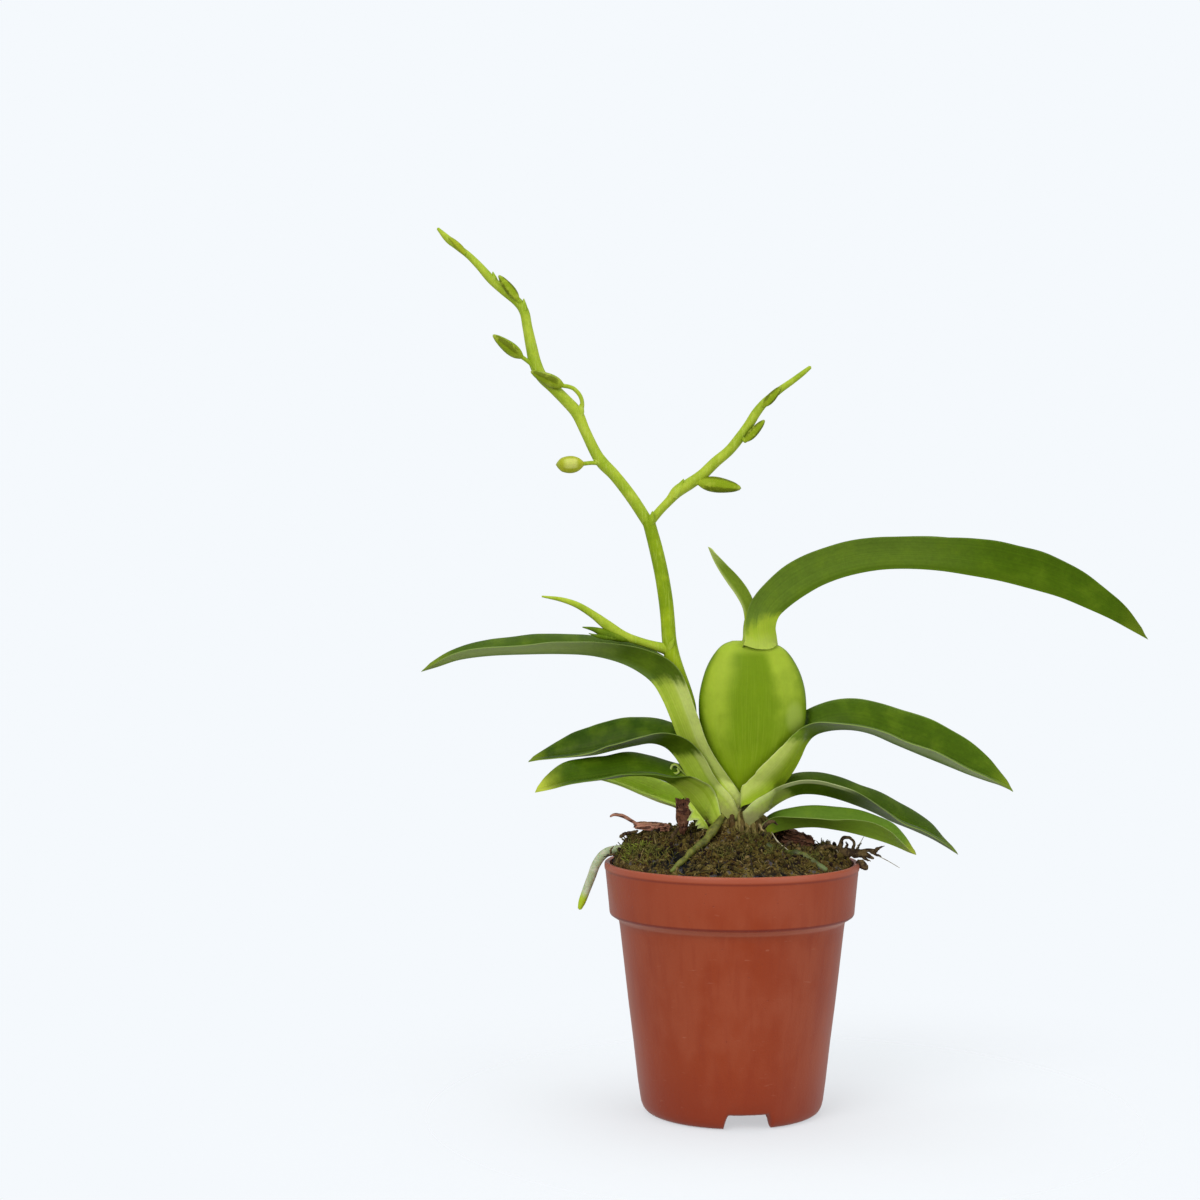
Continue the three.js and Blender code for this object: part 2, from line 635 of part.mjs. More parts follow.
// Pot: a thin turned shell with a raised floor, notched foot and drain holes
function potGeometry() {
  const profile = [
    [0, FLOOR_UNDERSIDE],
    [FOOT_RADIUS - 1.2, FLOOR_UNDERSIDE],
    [FOOT_RADIUS - 1.0, 0],
    [FOOT_RADIUS - 0.2, 0],
    [FOOT_RADIUS + 0.6, 0.6],
    [FOOT_RADIUS + 1.2, 2.1],
    [FOOT_RADIUS + 1.5, 4.2],
    [BODY_RADIUS, COLLAR_BOTTOM - 1.6],
    [COLLAR_RADIUS, COLLAR_BOTTOM],
    [RIM_RADIUS - 0.15, POT_HEIGHT - 1.2],
    [RIM_RADIUS, POT_HEIGHT - 0.9],
    [RIM_RADIUS, POT_HEIGHT - 0.2],
    [RIM_RADIUS - 0.3, POT_HEIGHT],
    [RIM_RADIUS - WALL, POT_HEIGHT],
    [COLLAR_RADIUS - WALL, COLLAR_BOTTOM + 0.6],
    [BODY_RADIUS - WALL, COLLAR_BOTTOM - 1.2],
    [FOOT_RADIUS + 0.7 - WALL, FLOOR_TOP],
    [0, FLOOR_TOP],
  ].map(([r, z]) => new THREE.Vector2(r, z));
  let pot = toSolid(new THREE.LatheGeometry(profile, POT_SIDES).rotateX(Math.PI / 2));
  const half = NOTCH_WIDTH / 2;
  const notch = new THREE.Shape()
    .moveTo(-half - 0.8, -1)
    .lineTo(-half - 0.5, 0.5)
    .lineTo(-half, FLOOR_UNDERSIDE - 0.9)
    .lineTo(-half + 0.9, FLOOR_UNDERSIDE - 0.15)
    .lineTo(half - 0.9, FLOOR_UNDERSIDE - 0.15)
    .lineTo(half, FLOOR_UNDERSIDE - 0.9)
    .lineTo(half + 0.5, 0.5)
    .lineTo(half + 0.8, -1);
  for (let i = 0; i < NOTCH_COUNT; i++) {
    const angle = THREE.MathUtils.degToRad(NOTCH_TURN + (360 / NOTCH_COUNT) * i);
    const cut = new THREE.ExtrudeGeometry(notch, { depth: 8, bevelEnabled: false })
      .rotateX(Math.PI / 2)
      .rotateZ(Math.PI)
      .translate(0, FOOT_RADIUS - 4, 0)
      .rotateZ(angle - Math.PI / 2);
    const hole = new THREE.CylinderGeometry(DRAIN_RADIUS, DRAIN_RADIUS, 6, 12)
      .rotateX(Math.PI / 2)
      .translate(DRAIN_DISTANCE * Math.cos(angle), DRAIN_DISTANCE * Math.sin(angle), FLOOR_TOP);
    pot = pot.subtract(toSolid(cut)).subtract(toSolid(hole));
  }
  return toGeometry(pot);
}

// Height of the compost's surface: higher on the left, and banked up before and behind the rootstock
function compostTop(x, y) {
  const reach = Math.hypot(x, y) / COMPOST_RADIUS;
  const heap = 4.3 - 1.3 * Math.tanh((x - 4) / 6);
  const bank = (y < 0 ? 4.6 : 3.2) * Math.exp(-(((x - 1.5) / 6) ** 2) - ((Math.abs(y) - 5.4) / 2.4) ** 2);
  const hollow = 0.8 * Math.exp(-((x - 1) ** 2 + y ** 2) / 18);
  const relief = 0.45 * Math.sin(0.9 * x + 1) * Math.cos(0.8 * y) + 0.3 * Math.sin(1.9 * x + 1.3 * y);
  return COMPOST_EDGE + Math.max(0, 1 - reach ** 12) * (heap + bank - hollow + relief);
}

// Compost: a block that fills the pot, with a heaped fibrous top
function compostSolid() {
  const random = randomFrom(7);
  const block = [];
  for (const [z, r] of [
    [FLOOR_TOP + GAP, FOOT_RADIUS - WALL],
    [COLLAR_BOTTOM - 1.4, BODY_RADIUS - WALL - 0.7],
    [COLLAR_BOTTOM + 0.9, COMPOST_RADIUS - 0.2],
  ]) {
    const ring = [];
    for (let j = 0; j < COMPOST_SPOKES; j++) {
      const angle = (2 * Math.PI * j) / COMPOST_SPOKES;
      ring.push(new THREE.Vector3(r * Math.cos(angle), r * Math.sin(angle), z));
    }
    block.push(ring);
  }
  for (let i = COMPOST_RINGS; i > 0; i--) {
    const ring = [];
    for (let j = 0; j < COMPOST_SPOKES; j++) {
      const loose = i < COMPOST_RINGS ? 1 : 0;
      const angle = (2 * Math.PI * (j + loose * random(-0.3, 0.3))) / COMPOST_SPOKES;
      const r = (COMPOST_RADIUS * (i + loose * random(-0.25, 0.25))) / COMPOST_RINGS;
      const [x, y] = [r * Math.cos(angle), r * Math.sin(angle)];
      ring.push(new THREE.Vector3(x, y, compostTop(x, y) + loose * random(-0.5, 0.5)));
    }
    block.push(ring);
  }
  let compost = toSolid(loft(block));
  for (let i = 0; i < FIBRE_COUNT; i++) {
    const angle = random(0, 2 * Math.PI);
    const r = 19.5 * Math.sqrt(random(0.08, 1));
    const turn = random(0, 2 * Math.PI);
    const length = random(3, 6.5);
    const [x, y] = [r * Math.cos(angle), r * Math.sin(angle)];
    const rows = [-0.5, -0.2, 0.2, 0.5].map((s, k) => {
      const px = x + s * length * Math.cos(turn);
      const py = y + s * length * Math.sin(turn);
      const lift = k === 1 || k === 2 ? random(0.3, 1.1) : -1.2;
      return [px, py, compostTop(px, py) + lift, random(0.35, 0.6)];
    });
    compost = compost.add(toSolid(stem(rows, 3, 3)));
  }
  for (let i = 0; i < CRUMB_COUNT; i++) {
    const angle = random(0, 2 * Math.PI);
    const r = 21 * Math.sqrt(random(0.1, 1));
    const [x, y] = [r * Math.cos(angle), r * Math.sin(angle)];
    const size = random(0.8, 1.7);
    const crumb = new THREE.IcosahedronGeometry(size, 0)
      .scale(1, random(0.7, 1.2), 0.7)
      .rotateZ(random(0, 3))
      .translate(x, y, compostTop(x, y) + 0.1);
    compost = compost.add(toSolid(crumb));
  }
  return compost;
}

// A rough chip of bark, long side along X, with uneven faces; extra thickens it on all sides
function barkGeometry(length, width, thickness, seed, extra) {
  const random = randomFrom(seed);
  const chip = new THREE.BoxGeometry(length, width, thickness, 4, 2, 1);
  chip.deleteAttribute("normal");
  chip.deleteAttribute("uv");
  const merged = mergeVertices(chip, 1e-4);
  const position = merged.attributes.position;
  for (let i = 0; i < position.count; i++) {
    const along = (2 * position.getX(i)) / length;
    const narrow = 1 - 0.25 * along * along;
    position.setXYZ(
      i,
      position.getX(i) + random(-0.06, 0.06) * length + extra * Math.sign(along),
      position.getY(i) * narrow + random(-0.08, 0.08) * width + extra * Math.sign(position.getY(i)),
      position.getZ(i) * narrow + random(-0.2, 0.2) * thickness + extra * Math.sign(position.getZ(i)),
    );
  }
  return merged;
}

// Pseudobulb on its rootstock
const CORE_SIDES = 24;
const BULB_STEPS = 16;
const ROOTSTOCK_STEPS = 8;
place("rootstock", ovalBody(ROOTSTOCK, CORE_SIDES, ROOTSTOCK_STEPS), "rootstock");
place("pseudobulb", ovalBody(BULB, CORE_SIDES, BULB_STEPS), "bulb");
const core = [
  ovalBody(ROOTSTOCK, CORE_SIDES, ROOTSTOCK_STEPS, ROOM),
  ovalBody(BULB, CORE_SIDES, BULB_STEPS, ROOM),
  ovalBody(BULB, CORE_SIDES, BULB_STEPS, GAP).translate(0, 0, GAP),
];

// Leaves: rows, side, number of steps, and the thickness of the sheaths that lie under each
const leaves = {
  leaf_left_1: [LEAF_LEFT_1, -1, 21, 0],
  leaf_left_2: [LEAF_LEFT_2, -1, 17, 1.1],
  leaf_left_3: [LEAF_LEFT_3, -1, 16, 2.2],
  leaf_left_4: [LEAF_LEFT_4, -1, 9, 1.1],
  leaf_right_1: [LEAF_RIGHT_1, 1, 20, 0],
  leaf_right_2: [LEAF_RIGHT_2, 1, 16, 1.1],
  leaf_right_3: [LEAF_RIGHT_3, 1, 13, 1.1],
  leaf_apex_long: [LEAF_APEX_LONG, 1, 23, 0],
  leaf_apex_small: [LEAF_APEX_SMALL, -1, 9, 0],
  sheath_old: [OLD_SHEATH, -1, 5, 0],
};
const STALK_SIDES = 7;
const STALK_STEPS = 16;
const tender = ["leaf_left_4", "leaf_right_3", "leaf_apex_small"];
for (const [name, shape] of Object.entries(leaves)) {
  const finish = name === "sheath_old" ? "oldSheath" : tender.includes(name) ? "youngLeaf" : "leaf";
  const inside = name === "leaf_left_1" ? [...core, stem(STALK, STALK_SIDES, STALK_STEPS, ROOM)] : core;
  place(name, toGeometry(carve(toSolid(leafGeometry(...shape)), inside)), finish);
}

// Flower stem with its branches, bracts and buds, grown as one piece
function budGeometry({ from, base, tip, radius }) {
  const pedicel = stem([[...from, 0.4], [...base, 0.38]], 5, 2);
  const body = [
    [...base, radius * 0.35],
    ...[0.18, 0.45, 0.75].map((s, k) => [
      base[0] + s * (tip[0] - base[0]),
      base[1] + s * (tip[1] - base[1]),
      base[2] + s * (tip[2] - base[2]),
      radius * [0.85, 1, 0.62][k],
    ]),
    [...tip, radius * 0.15],
  ];
  return [pedicel, stem(body, 6, 5)];
}

const stemPieces = [
  stem(STALK, STALK_SIDES, STALK_STEPS),
  stem(BRANCH_LEFT, 5, 21),
  stem(BRANCH_RIGHT, 5, 16),
  stem(SIDE_SHOOT, 5, 10),
  stem(SIDE_SHOOT_PRONG, 4, 3),
  ...BUDS.flatMap(budGeometry),
  ...BRACTS.map(({ foot, tip, radius }) => stem([[...foot, radius], [...tip, 0.2]], 4, 2)),
];
place("flower_stem", toGeometry(fuse(stemPieces)), "stem");

// Roots: rows, sides and steps
const roots = {
  root_hanging: [ROOT_HANGING, 6, 12],
  root_front: [ROOT_FRONT, 6, 10],
  root_right: [ROOT_RIGHT, 6, 8],
};
for (const [name, shape] of Object.entries(roots)) {
  place(name, stem(...shape), "root");
}
const shortRoots = SHORT_ROOTS.map((points) => points.map((p, k) => [...p, SHORT_ROOT_RADIUS - 0.15 * k]));
const CROWN = [
  [56.8, 1.5, 2.2, 0.5],
  [58.0, 1.5, 2.5, 0.6],
  [59.2, 1.5, 2.0, 0.5],
];
const ROOT_SIDES = 6;
const ROOT_STEPS = 5;
const crown = (extra) => ovalBody(CROWN, 8, 3, extra).translate(0, -4.4, 0);
const shortRootPieces = shortRoots.map((rows) => stem(rows, ROOT_SIDES, ROOT_STEPS));
place("roots_short", toGeometry(fuse([crown(0), ...shortRootPieces])), "root");

// Bark and debris on the compost. Extra is the room that a piece has in the hole that it lies in.
const barkPieces = {
  bark_chip_flat: (extra) => [
    barkGeometry(6.8, 4.6, 1.5, 3, extra).rotateZ(0.2).rotateY(0.06).translate(-15.6, 3.2, 55.1),
    stem(
      [
        [-23.2, 1.0, 57.4, 0.35],
        [-21.4, 1.2, 57.2, 0.55],
        [-19.6, 1.8, 56.4, 0.6],
        [-17.0, 2.4, 55.2, 0.5],
      ],
      5,
      6,
      extra,
    ),
  ],
  bark_chip_upright: (extra) => [
    barkGeometry(6.4, 3.2, 1.7, 11, extra)
      .rotateZ(0.15)
      .rotateX(1.35)
      .rotateY(-1.42)
      .translate(-9.7, -3.6, 57.6),
  ],
  bark_chip_right: (extra) => [
    barkGeometry(7.2, 5.4, 2.6, 19, extra).rotateZ(-0.5).rotateY(0.18).translate(12.4, 2.6, 52.6),
  ],
  husk_curl: (extra) => [
    stem(
      [
        [21.8, -2, 50.6, 0.9],
        [21.5, -2, 52.4, 0.7],
        [22.6, -2, 53.6, 0.6],
        [23.8, -2, 53.0, 0.6],
        [24.0, -2, 51.8, 0.5],
      ],
      5,
      7,
      extra,
    ),
    stem(
      [
        [21.4, -2.2, 50.7, 1.1],
        [24.2, -2.4, 51.0, 1.0],
        [26.6, -2.6, 50.6, 0.7],
        [29.2, -2.8, 50.8, 0.4],
      ],
      5,
      5,
      extra,
    ),
  ],
};
for (const [name, pieces] of Object.entries(barkPieces)) {
  place(name, toGeometry(fuse(pieces(0))), "bark");
}

// The compost has a plain hole round everything that stands or lies in it
place("pot", potGeometry(), "pot");
const planted = ["leaf_left_3", "leaf_left_4", "leaf_right_3"];
const SHEATH_HOLE = [
  [-3.2, -3.3, 52.8, 2.2],
  [-6.4, -3.5, 58.2, 2.4],
];
const holes = [
  core[0],
  crown(ROOM),
  stem(SHEATH_HOLE, 8, 1),
  ...planted.map((name) => leafGeometry(...leaves[name], WIDE_ROOM)),
  ...Object.values(roots).map((shape) => stem(...shape, ROOM)),
  ...shortRoots.map((rows) => stem(rows, ROOT_SIDES, ROOT_STEPS, ROOM)),
  ...Object.values(barkPieces).flatMap((pieces) => pieces(WIDE_ROOM)),
];
place("compost", toGeometry(carve(compostSolid(), holes)), "compost");

// The origin goes under the middle of the whole plant
const box = new THREE.Box3().setFromObject(plant);
const centre = box.getCenter(new THREE.Vector3());
plant.position.set(-centre.x, -centre.y, -box.min.z);
plant.updateMatrixWorld(true);

export default plant;
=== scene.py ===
import functools
import math
import random

import bmesh
import bpy
from mathutils import Euler, Matrix, Vector, noise


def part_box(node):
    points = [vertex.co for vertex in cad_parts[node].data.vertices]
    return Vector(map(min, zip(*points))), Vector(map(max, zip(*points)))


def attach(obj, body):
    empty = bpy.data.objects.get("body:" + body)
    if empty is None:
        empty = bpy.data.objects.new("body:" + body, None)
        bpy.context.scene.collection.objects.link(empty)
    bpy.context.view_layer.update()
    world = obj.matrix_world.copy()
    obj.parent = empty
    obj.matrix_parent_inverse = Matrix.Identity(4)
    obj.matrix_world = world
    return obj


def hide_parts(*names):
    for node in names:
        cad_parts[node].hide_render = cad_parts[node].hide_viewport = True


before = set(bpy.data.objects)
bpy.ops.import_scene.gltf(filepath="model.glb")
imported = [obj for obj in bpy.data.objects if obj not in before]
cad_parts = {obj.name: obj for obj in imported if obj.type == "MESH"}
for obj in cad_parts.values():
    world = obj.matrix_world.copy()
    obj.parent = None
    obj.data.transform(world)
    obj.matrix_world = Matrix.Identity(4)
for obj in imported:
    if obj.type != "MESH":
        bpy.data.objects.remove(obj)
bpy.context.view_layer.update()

# Camera. A long lens 41 cm in front of the pot and 10 cm up, held level. It looks straight along Y, a
# little left of the pot's axis. Places are in millimetres from that axis and from the pot's foot.
pot_low, pot_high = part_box("pot")
AXIS = (pot_low.x + pot_high.x) / 2
CAMERA_PLACE = (-25.9, -410, 100)
LENS = 62.5
SENSOR = 36
# What the gloss adds to a colour, and how bright a white surface looks under the lights
GLOSS = 0.02
BRIGHTNESS = 1.06


def at(x, y, z):
    """A place in millimetres from the pot's axis and foot, as metres in the frame."""
    return Vector((AXIS + x / 1000, y / 1000, z / 1000))


def paint(red, green, blue):
    """The colour that a shader takes for one that looks so under the lights, from 0 to 255. What the gloss
    and the brightness of the lights do to it comes off."""
    linear = [((c / 255 + 0.055) / 1.055) ** 2.4 for c in (red, green, blue)]
    return (*[max(0.003, c - GLOSS) / BRIGHTNESS for c in linear], 1)


lens = bpy.data.cameras.new("camera")
lens.lens = LENS
lens.sensor_width = SENSOR
camera = bpy.data.objects.new("camera", lens)
camera.location = at(*CAMERA_PLACE)
camera.rotation_euler = (math.radians(90), 0, 0)
bpy.context.scene.collection.objects.link(camera)
bpy.context.scene.camera = camera
bpy.context.scene.view_settings.view_transform = "Standard"

# Floor and light. A pale sheet that fades into the pale surroundings, a large soft light in front at the
# upper left, a weaker one at the right, and one overhead. The surroundings light the plant from all sides.
FLOOR_RADIUS = 0.9
FLOOR_DEPTH = 0.0002
FLOOR_COLOUR = (0.84, 0.87, 0.9, 1)
FLOOR_SHOWS = 0.45
FLOOR_FADES = (0.025, 0.13)
SURROUND = (0.913, 0.947, 0.982, 1)
AMBIENT = 0.54
LAMPS = {
    "key": {"place": (-480, -800, 620), "size": 0.7, "power": 6.2},
    "fill": {"place": (700, -620, 300), "size": 0.8, "power": 3.0},
    "overhead": {"place": (60, 160, 1050), "size": 0.9, "power": 3.6},
}
LAMP_TARGET = at(0, 0, 70)

for name, lamp in LAMPS.items():
    light = bpy.data.lights.new(name, "AREA")
    light.shape = "DISK"
    light.size = lamp["size"]
    light.energy = lamp["power"]
    holder = bpy.data.objects.new(name, light)
    holder.location = at(*lamp["place"])
    holder.rotation_euler = (LAMP_TARGET - holder.location).to_track_quat("-Z", "Y").to_euler()
    bpy.context.scene.collection.objects.link(holder)


class Signal:
    """A socket whose value varies. Arithmetic on it adds the Math nodes that work the result out."""

    def __init__(self, finish, socket):
        self.finish = finish
        self.socket = socket

    def join(self, operation, first, second):
        return self.finish.node("ShaderNodeMath", {"operation": operation}, {0: first, 1: second})

    def __add__(self, other):
        return self.join("ADD", self, other)

    def __radd__(self, other):
        return self.join("ADD", other, self)

    def __sub__(self, other):
        return self.join("SUBTRACT", self, other)

    def __rsub__(self, other):
        return self.join("SUBTRACT", other, self)

    def __mul__(self, other):
        return self.join("MULTIPLY", self, other)

    def __rmul__(self, other):
        return self.join("MULTIPLY", other, self)

    def __truediv__(self, other):
        return self.join("DIVIDE", self, other)

    def __pow__(self, other):
        return self.join("POWER", self, other)


class Finish:
    """A material and the nodes that vary it. Sizes are in millimetres."""

    def __init__(self, name, constants):
        self.material = bpy.data.materials.new(name)
        self.material.use_nodes = True
        self.tree = self.material.node_tree
        self.shader = self.tree.nodes["Principled BSDF"]
        for socket, value in constants.items():
            self.shader.inputs[socket].default_value = value

    def node(self, kind, settings, inputs, output=0):
        node = self.tree.nodes.new(kind)
        for setting, value in settings.items():
            setattr(node, setting, value)
        for socket, value in inputs.items():
            if isinstance(value, Signal):
                self.tree.links.new(value.socket, node.inputs[socket])
            else:
                node.inputs[socket].default_value = value
        return Signal(self, node.outputs[output])

    def show(self, signals):
        """Leads signals to the shader's sockets."""
        for socket, signal in signals.items():
            self.tree.links.new(signal.socket, self.shader.inputs[socket])

    def place(self):
        """Where a point of the surface is, in millimetres from the frame's origin."""
        metres = self.node("ShaderNodeTexCoord", {}, {}, "Object")
        return self.node("ShaderNodeVectorMath", {"operation": "SCALE"}, {0: metres, "Scale": 1000})

    def split(self, vector):
        """The three numbers of a vector."""
        return [self.node("ShaderNodeSeparateXYZ", {}, {0: vector}, k) for k in range(3)]

    def chart(self):
        """The numbers of the piece's own UV map: how far round it or its tint, and how far along it."""
        return self.split(self.node("ShaderNodeTexCoord", {}, {}, "UV"))

    def maths(self, operation, value):
        """A function of one number, such as its cosine."""
        return self.node("ShaderNodeMath", {"operation": operation}, {0: value})

    def noise(self, where, size, detail=3, stretch=(1, 1, 1)):
        """Cloudy noise about 0.5, its patches size wide, and longer where stretch is under 1."""
        pulled = self.node("ShaderNodeVectorMath", {"operation": "MULTIPLY"}, {0: where, 1: stretch})
        inputs = {"Vector": pulled, "Scale": 1 / size, "Detail": detail}
        return self.node("ShaderNodeTexNoise", {}, inputs)

    def band(self, value, start, end):
        """0 where value is at start, 1 where it is at end, and a soft change between them."""
        inputs = {0: value, 1: start, 2: end}
        return self.node("ShaderNodeMapRange", {"interpolation_type": "SMOOTHSTEP"}, inputs)

    def mix(self, share, first, second):
        """The first colour, turning into the second as share goes from 0 to 1."""
        return self.node("ShaderNodeMix", {"data_type": "RGBA"}, {0: share, 6: first, 7: second}, 2)

    def coat(self, colour, *coats):
        """The colour under thin coats, each as how much it covers and its red, green and blue."""
        for share, pigment in coats:
            colour = self.mix(share, colour, paint(*pigment))
        return colour

    def shade(self, colour, factor):
        """The colour made lighter or darker by a factor about 1."""
        return self.node("ShaderNodeVectorMath", {"operation": "SCALE"}, {0: colour, "Scale": factor})

    def bump(self, height, depth):
        """A normal for relief that is depth millimetres high."""
        return self.node("ShaderNodeBump", {}, {"Height": height, "Distance": depth / 1000, "Strength": 1})


world = bpy.data.worlds.new("surroundings")
world.use_nodes = True
bpy.context.scene.world = world
links = world.node_tree.links
sky = world.node_tree.nodes["Background"]
sky.inputs["Color"].default_value = (1, 1, 1, 1)
sky.inputs["Strength"].default_value = AMBIENT
backdrop = world.node_tree.nodes.new("ShaderNodeBackground")
backdrop.inputs["Color"].default_value = SURROUND
seen = world.node_tree.nodes.new("ShaderNodeLightPath")
choice = world.node_tree.nodes.new("ShaderNodeMixShader")
links.new(seen.outputs["Is Camera Ray"], choice.inputs[0])
links.new(sky.outputs[0], choice.inputs[1])
links.new(backdrop.outputs[0], choice.inputs[2])
links.new(choice.outputs[0], world.node_tree.nodes["World Output"].inputs[0])

floor_finish = Finish(
    "pale_sheet",
    {"Base Color": FLOOR_COLOUR, "Roughness": 0.9, "Specular IOR Level": 0.1},
)
floor_place = floor_finish.node("ShaderNodeTexCoord", {}, {}, "Object")
floor_reach = floor_finish.node("ShaderNodeVectorMath", {"operation": "LENGTH"}, {0: floor_place}, "Value")
floor_finish.show({"Alpha": FLOOR_SHOWS * (1 - floor_finish.band(floor_reach, *FLOOR_FADES))})
floor_mesh = bmesh.new()
bmesh.ops.create_circle(floor_mesh, cap_ends=True, segments=96, radius=FLOOR_RADIUS)
bmesh.ops.translate(floor_mesh, verts=floor_mesh.verts, vec=(0, 0, -FLOOR_DEPTH))
floor_data = bpy.data.meshes.new("floor")
floor_mesh.to_mesh(floor_data)
floor_mesh.free()
floor_data.materials.append(floor_finish.material)
floor = bpy.data.objects.new("floor", floor_data)
bpy.context.scene.collection.objects.link(floor)

# Pot. A thin nursery pot pressed from terracotta-coloured plastic: a tapering body, a wider collar with a
# small rolled lip, a raised floor with three drain holes, and a foot ring with three notches.
# The wall is turned from its section, given as radius and height.
POT_OUTLINE = [
    (15.0, 2.8),
    (15.55, 2.6),
    (15.7, 0.35),
    (15.95, 0.05),
    (16.3, 0.0),
    (16.7, 0.08),
    (17.1, 0.35),
    (17.45, 0.8),
    (17.72, 1.45),
    (17.92, 2.3),
    (18.06, 3.3),
    (18.4, 5.6),
    (18.85, 9.5),
    (19.3, 13.4),
    (20.3, 21.3),
    (21.2, 29.0),
    (22.0, 35.8),
    (22.18, 37.0),
    (22.4, 37.5),
    (23.4, 38.1),
    (23.85, 38.4),
    (24.02, 38.7),
    (24.06, 39.1),
    (24.18, 40.5),
    (24.56, 44.5),
    (24.78, 46.7),
    (24.82, 47.1),
    (24.94, 47.28),
    (25.0, 47.6),
    (25.0, 48.2),
    (24.92, 48.45),
    (24.7, 48.6),
    (24.2, 48.6),
    (23.98, 48.45),
    (23.85, 47.6),
    (23.05, 39.9),
    (22.75, 39.2),
    (21.4, 38.3),
    (21.15, 37.4),
    (16.6, 4.6),
    (15.8, 3.9),
    (15.0, 3.9),
]
POT_SEGMENTS = 480
POT_WOBBLE = 0.09
NOTCHES = 3
NOTCH_TURN = -83
NOTCH_RISE = 2.65
NOTCH_TOP = 3.4
NOTCH_INNER = 12.8
NOTCH_OUTER = 15.6
DRAIN_RADIUS = 2
DRAIN_DISTANCE = 10
PLATE_RADIUS = 15.6
PLATE_HEIGHT = 2.8
PLATE_THICKNESS = 1.1
WELD = 2e-7


def settle(mesh, name, finish, nodes, crease=180):
    """Ends a piece: closes its seams and ends, turns its faces outwards and keeps edges sharper than
    crease, in degrees."""
    bmesh.ops.remove_doubles(mesh, verts=mesh.verts, dist=WELD)
    bmesh.ops.holes_fill(mesh, edges=mesh.edges)
    bmesh.ops.recalc_face_normals(mesh, faces=mesh.faces)
    for face in mesh.faces:
        face.smooth = True
    for edge in mesh.edges:
        edge.smooth = edge.calc_face_angle(0) < math.radians(crease)
    data = bpy.data.meshes.new(name)
    mesh.to_mesh(data)
    mesh.free()
    data.materials.append(finish.material)
    piece = bpy.data.objects.new(name, data)
    bpy.context.scene.collection.objects.link(piece)
    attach(piece, "root")
    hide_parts(*nodes)


pot_mesh = bmesh.new()
outline = [pot_mesh.verts.new((r, 0, z)) for r, z in POT_OUTLINE]
ring = [pot_mesh.edges.new((a, b)) for a, b in zip(outline, outline[1:] + outline[:1])]
bmesh.ops.spin(
    pot_mesh,
    geom=outline + ring,
    cent=(0, 0, 0),
    axis=(0, 0, 1),
    angle=2 * math.pi,
    steps=POT_SEGMENTS,
    use_merge=True,
)
for vert in pot_mesh.verts:
    x, y, z = vert.co
    turn = math.degrees(math.atan2(y, x)) - NOTCH_TURN
    off = abs((turn + 180 / NOTCHES) % (360 / NOTCHES) - 180 / NOTCHES)
    rise = NOTCH_RISE * (1 - min(1, max(0, (off - NOTCH_INNER) / (NOTCH_OUTER - NOTCH_INNER)))) ** 0.6
    if z < NOTCH_TOP:
        vert.co.z = rise + z * (NOTCH_TOP - rise) / NOTCH_TOP
    wobble = POT_WOBBLE * noise.noise(Vector((x / 14, y / 14, z / 22)))
    vert.co.xy *= 1 + wobble / math.hypot(x, y)
plate = bmesh.ops.create_circle(pot_mesh, segments=96, radius=PLATE_RADIUS)["verts"]
for i in range(NOTCHES):
    turn = math.radians(NOTCH_TURN + 360 / NOTCHES * i)
    centre = Matrix.Translation((DRAIN_DISTANCE * math.cos(turn), DRAIN_DISTANCE * math.sin(turn), 0))
    plate += bmesh.ops.create_circle(pot_mesh, segments=32, radius=DRAIN_RADIUS, matrix=centre)["verts"]
plate_edges = list(dict.fromkeys(edge for vert in plate for edge in vert.link_edges))
bmesh.ops.triangle_fill(pot_mesh, edges=plate_edges, use_beauty=True, normal=(0, 0, 1))
bmesh.ops.translate(pot_mesh, verts=plate, vec=(0, 0, PLATE_HEIGHT))
plate_faces = list(dict.fromkeys(face for vert in plate for face in vert.link_faces))
raised = bmesh.ops.extrude_face_region(pot_mesh, geom=plate_faces, use_keep_orig=True)["geom"]
raised = [item for item in raised if isinstance(item, bmesh.types.BMVert)]
bmesh.ops.translate(pot_mesh, verts=raised, vec=(0, 0, PLATE_THICKNESS))
for vert in pot_mesh.verts:
    vert.co = at(*vert.co)

finish = Finish(
    "terracotta_plastic",
    {
        "Specular IOR Level": 0.36,
        "IOR": 1.46,
        "Sheen Weight": 0.12,
        "Sheen Roughness": 0.4,
        "Sheen Tint": (1, 0.84, 0.78, 1),
    },
)
spot = finish.place()
_, _, height = finish.split(spot)
broad = finish.noise(spot, 15, 3, (1, 1, 0.5))
cloud = finish.noise(spot, 4.5, 4, (1, 1, 0.7))
streak = finish.noise(spot, 1.5, 3, (1, 1, 0.04))
grain = finish.noise(spot, 0.5, 3)
scuff = finish.band(finish.noise(spot, 1.1, 5, (0.35, 0.35, 1.6)), 0.67, 0.75)
pit = finish.band(finish.noise(spot, 0.55, 1), 0.75, 0.82)
# painted highlight: a pale line along the rolled lip
lip_highlight = finish.band(height, 47.4, 47.7)
# painted shadow: a thin dark line under the rim's rolled lip
shadow_under_lip = finish.band(height, 46.9, 47.15) * finish.band(height, 47.45, 47.3)
# painted shadow: a thin dark line along the collar's lower edge
collar_shadow_line = finish.band(height, 38.3, 38.5) * finish.band(height, 38.95, 38.75)
# painted light: the chamfer under the collar faces down and is painted paler to make up for its shade
underside = finish.band(height, 37.1, 37.5) * finish.band(height, 38.4, 38.1)
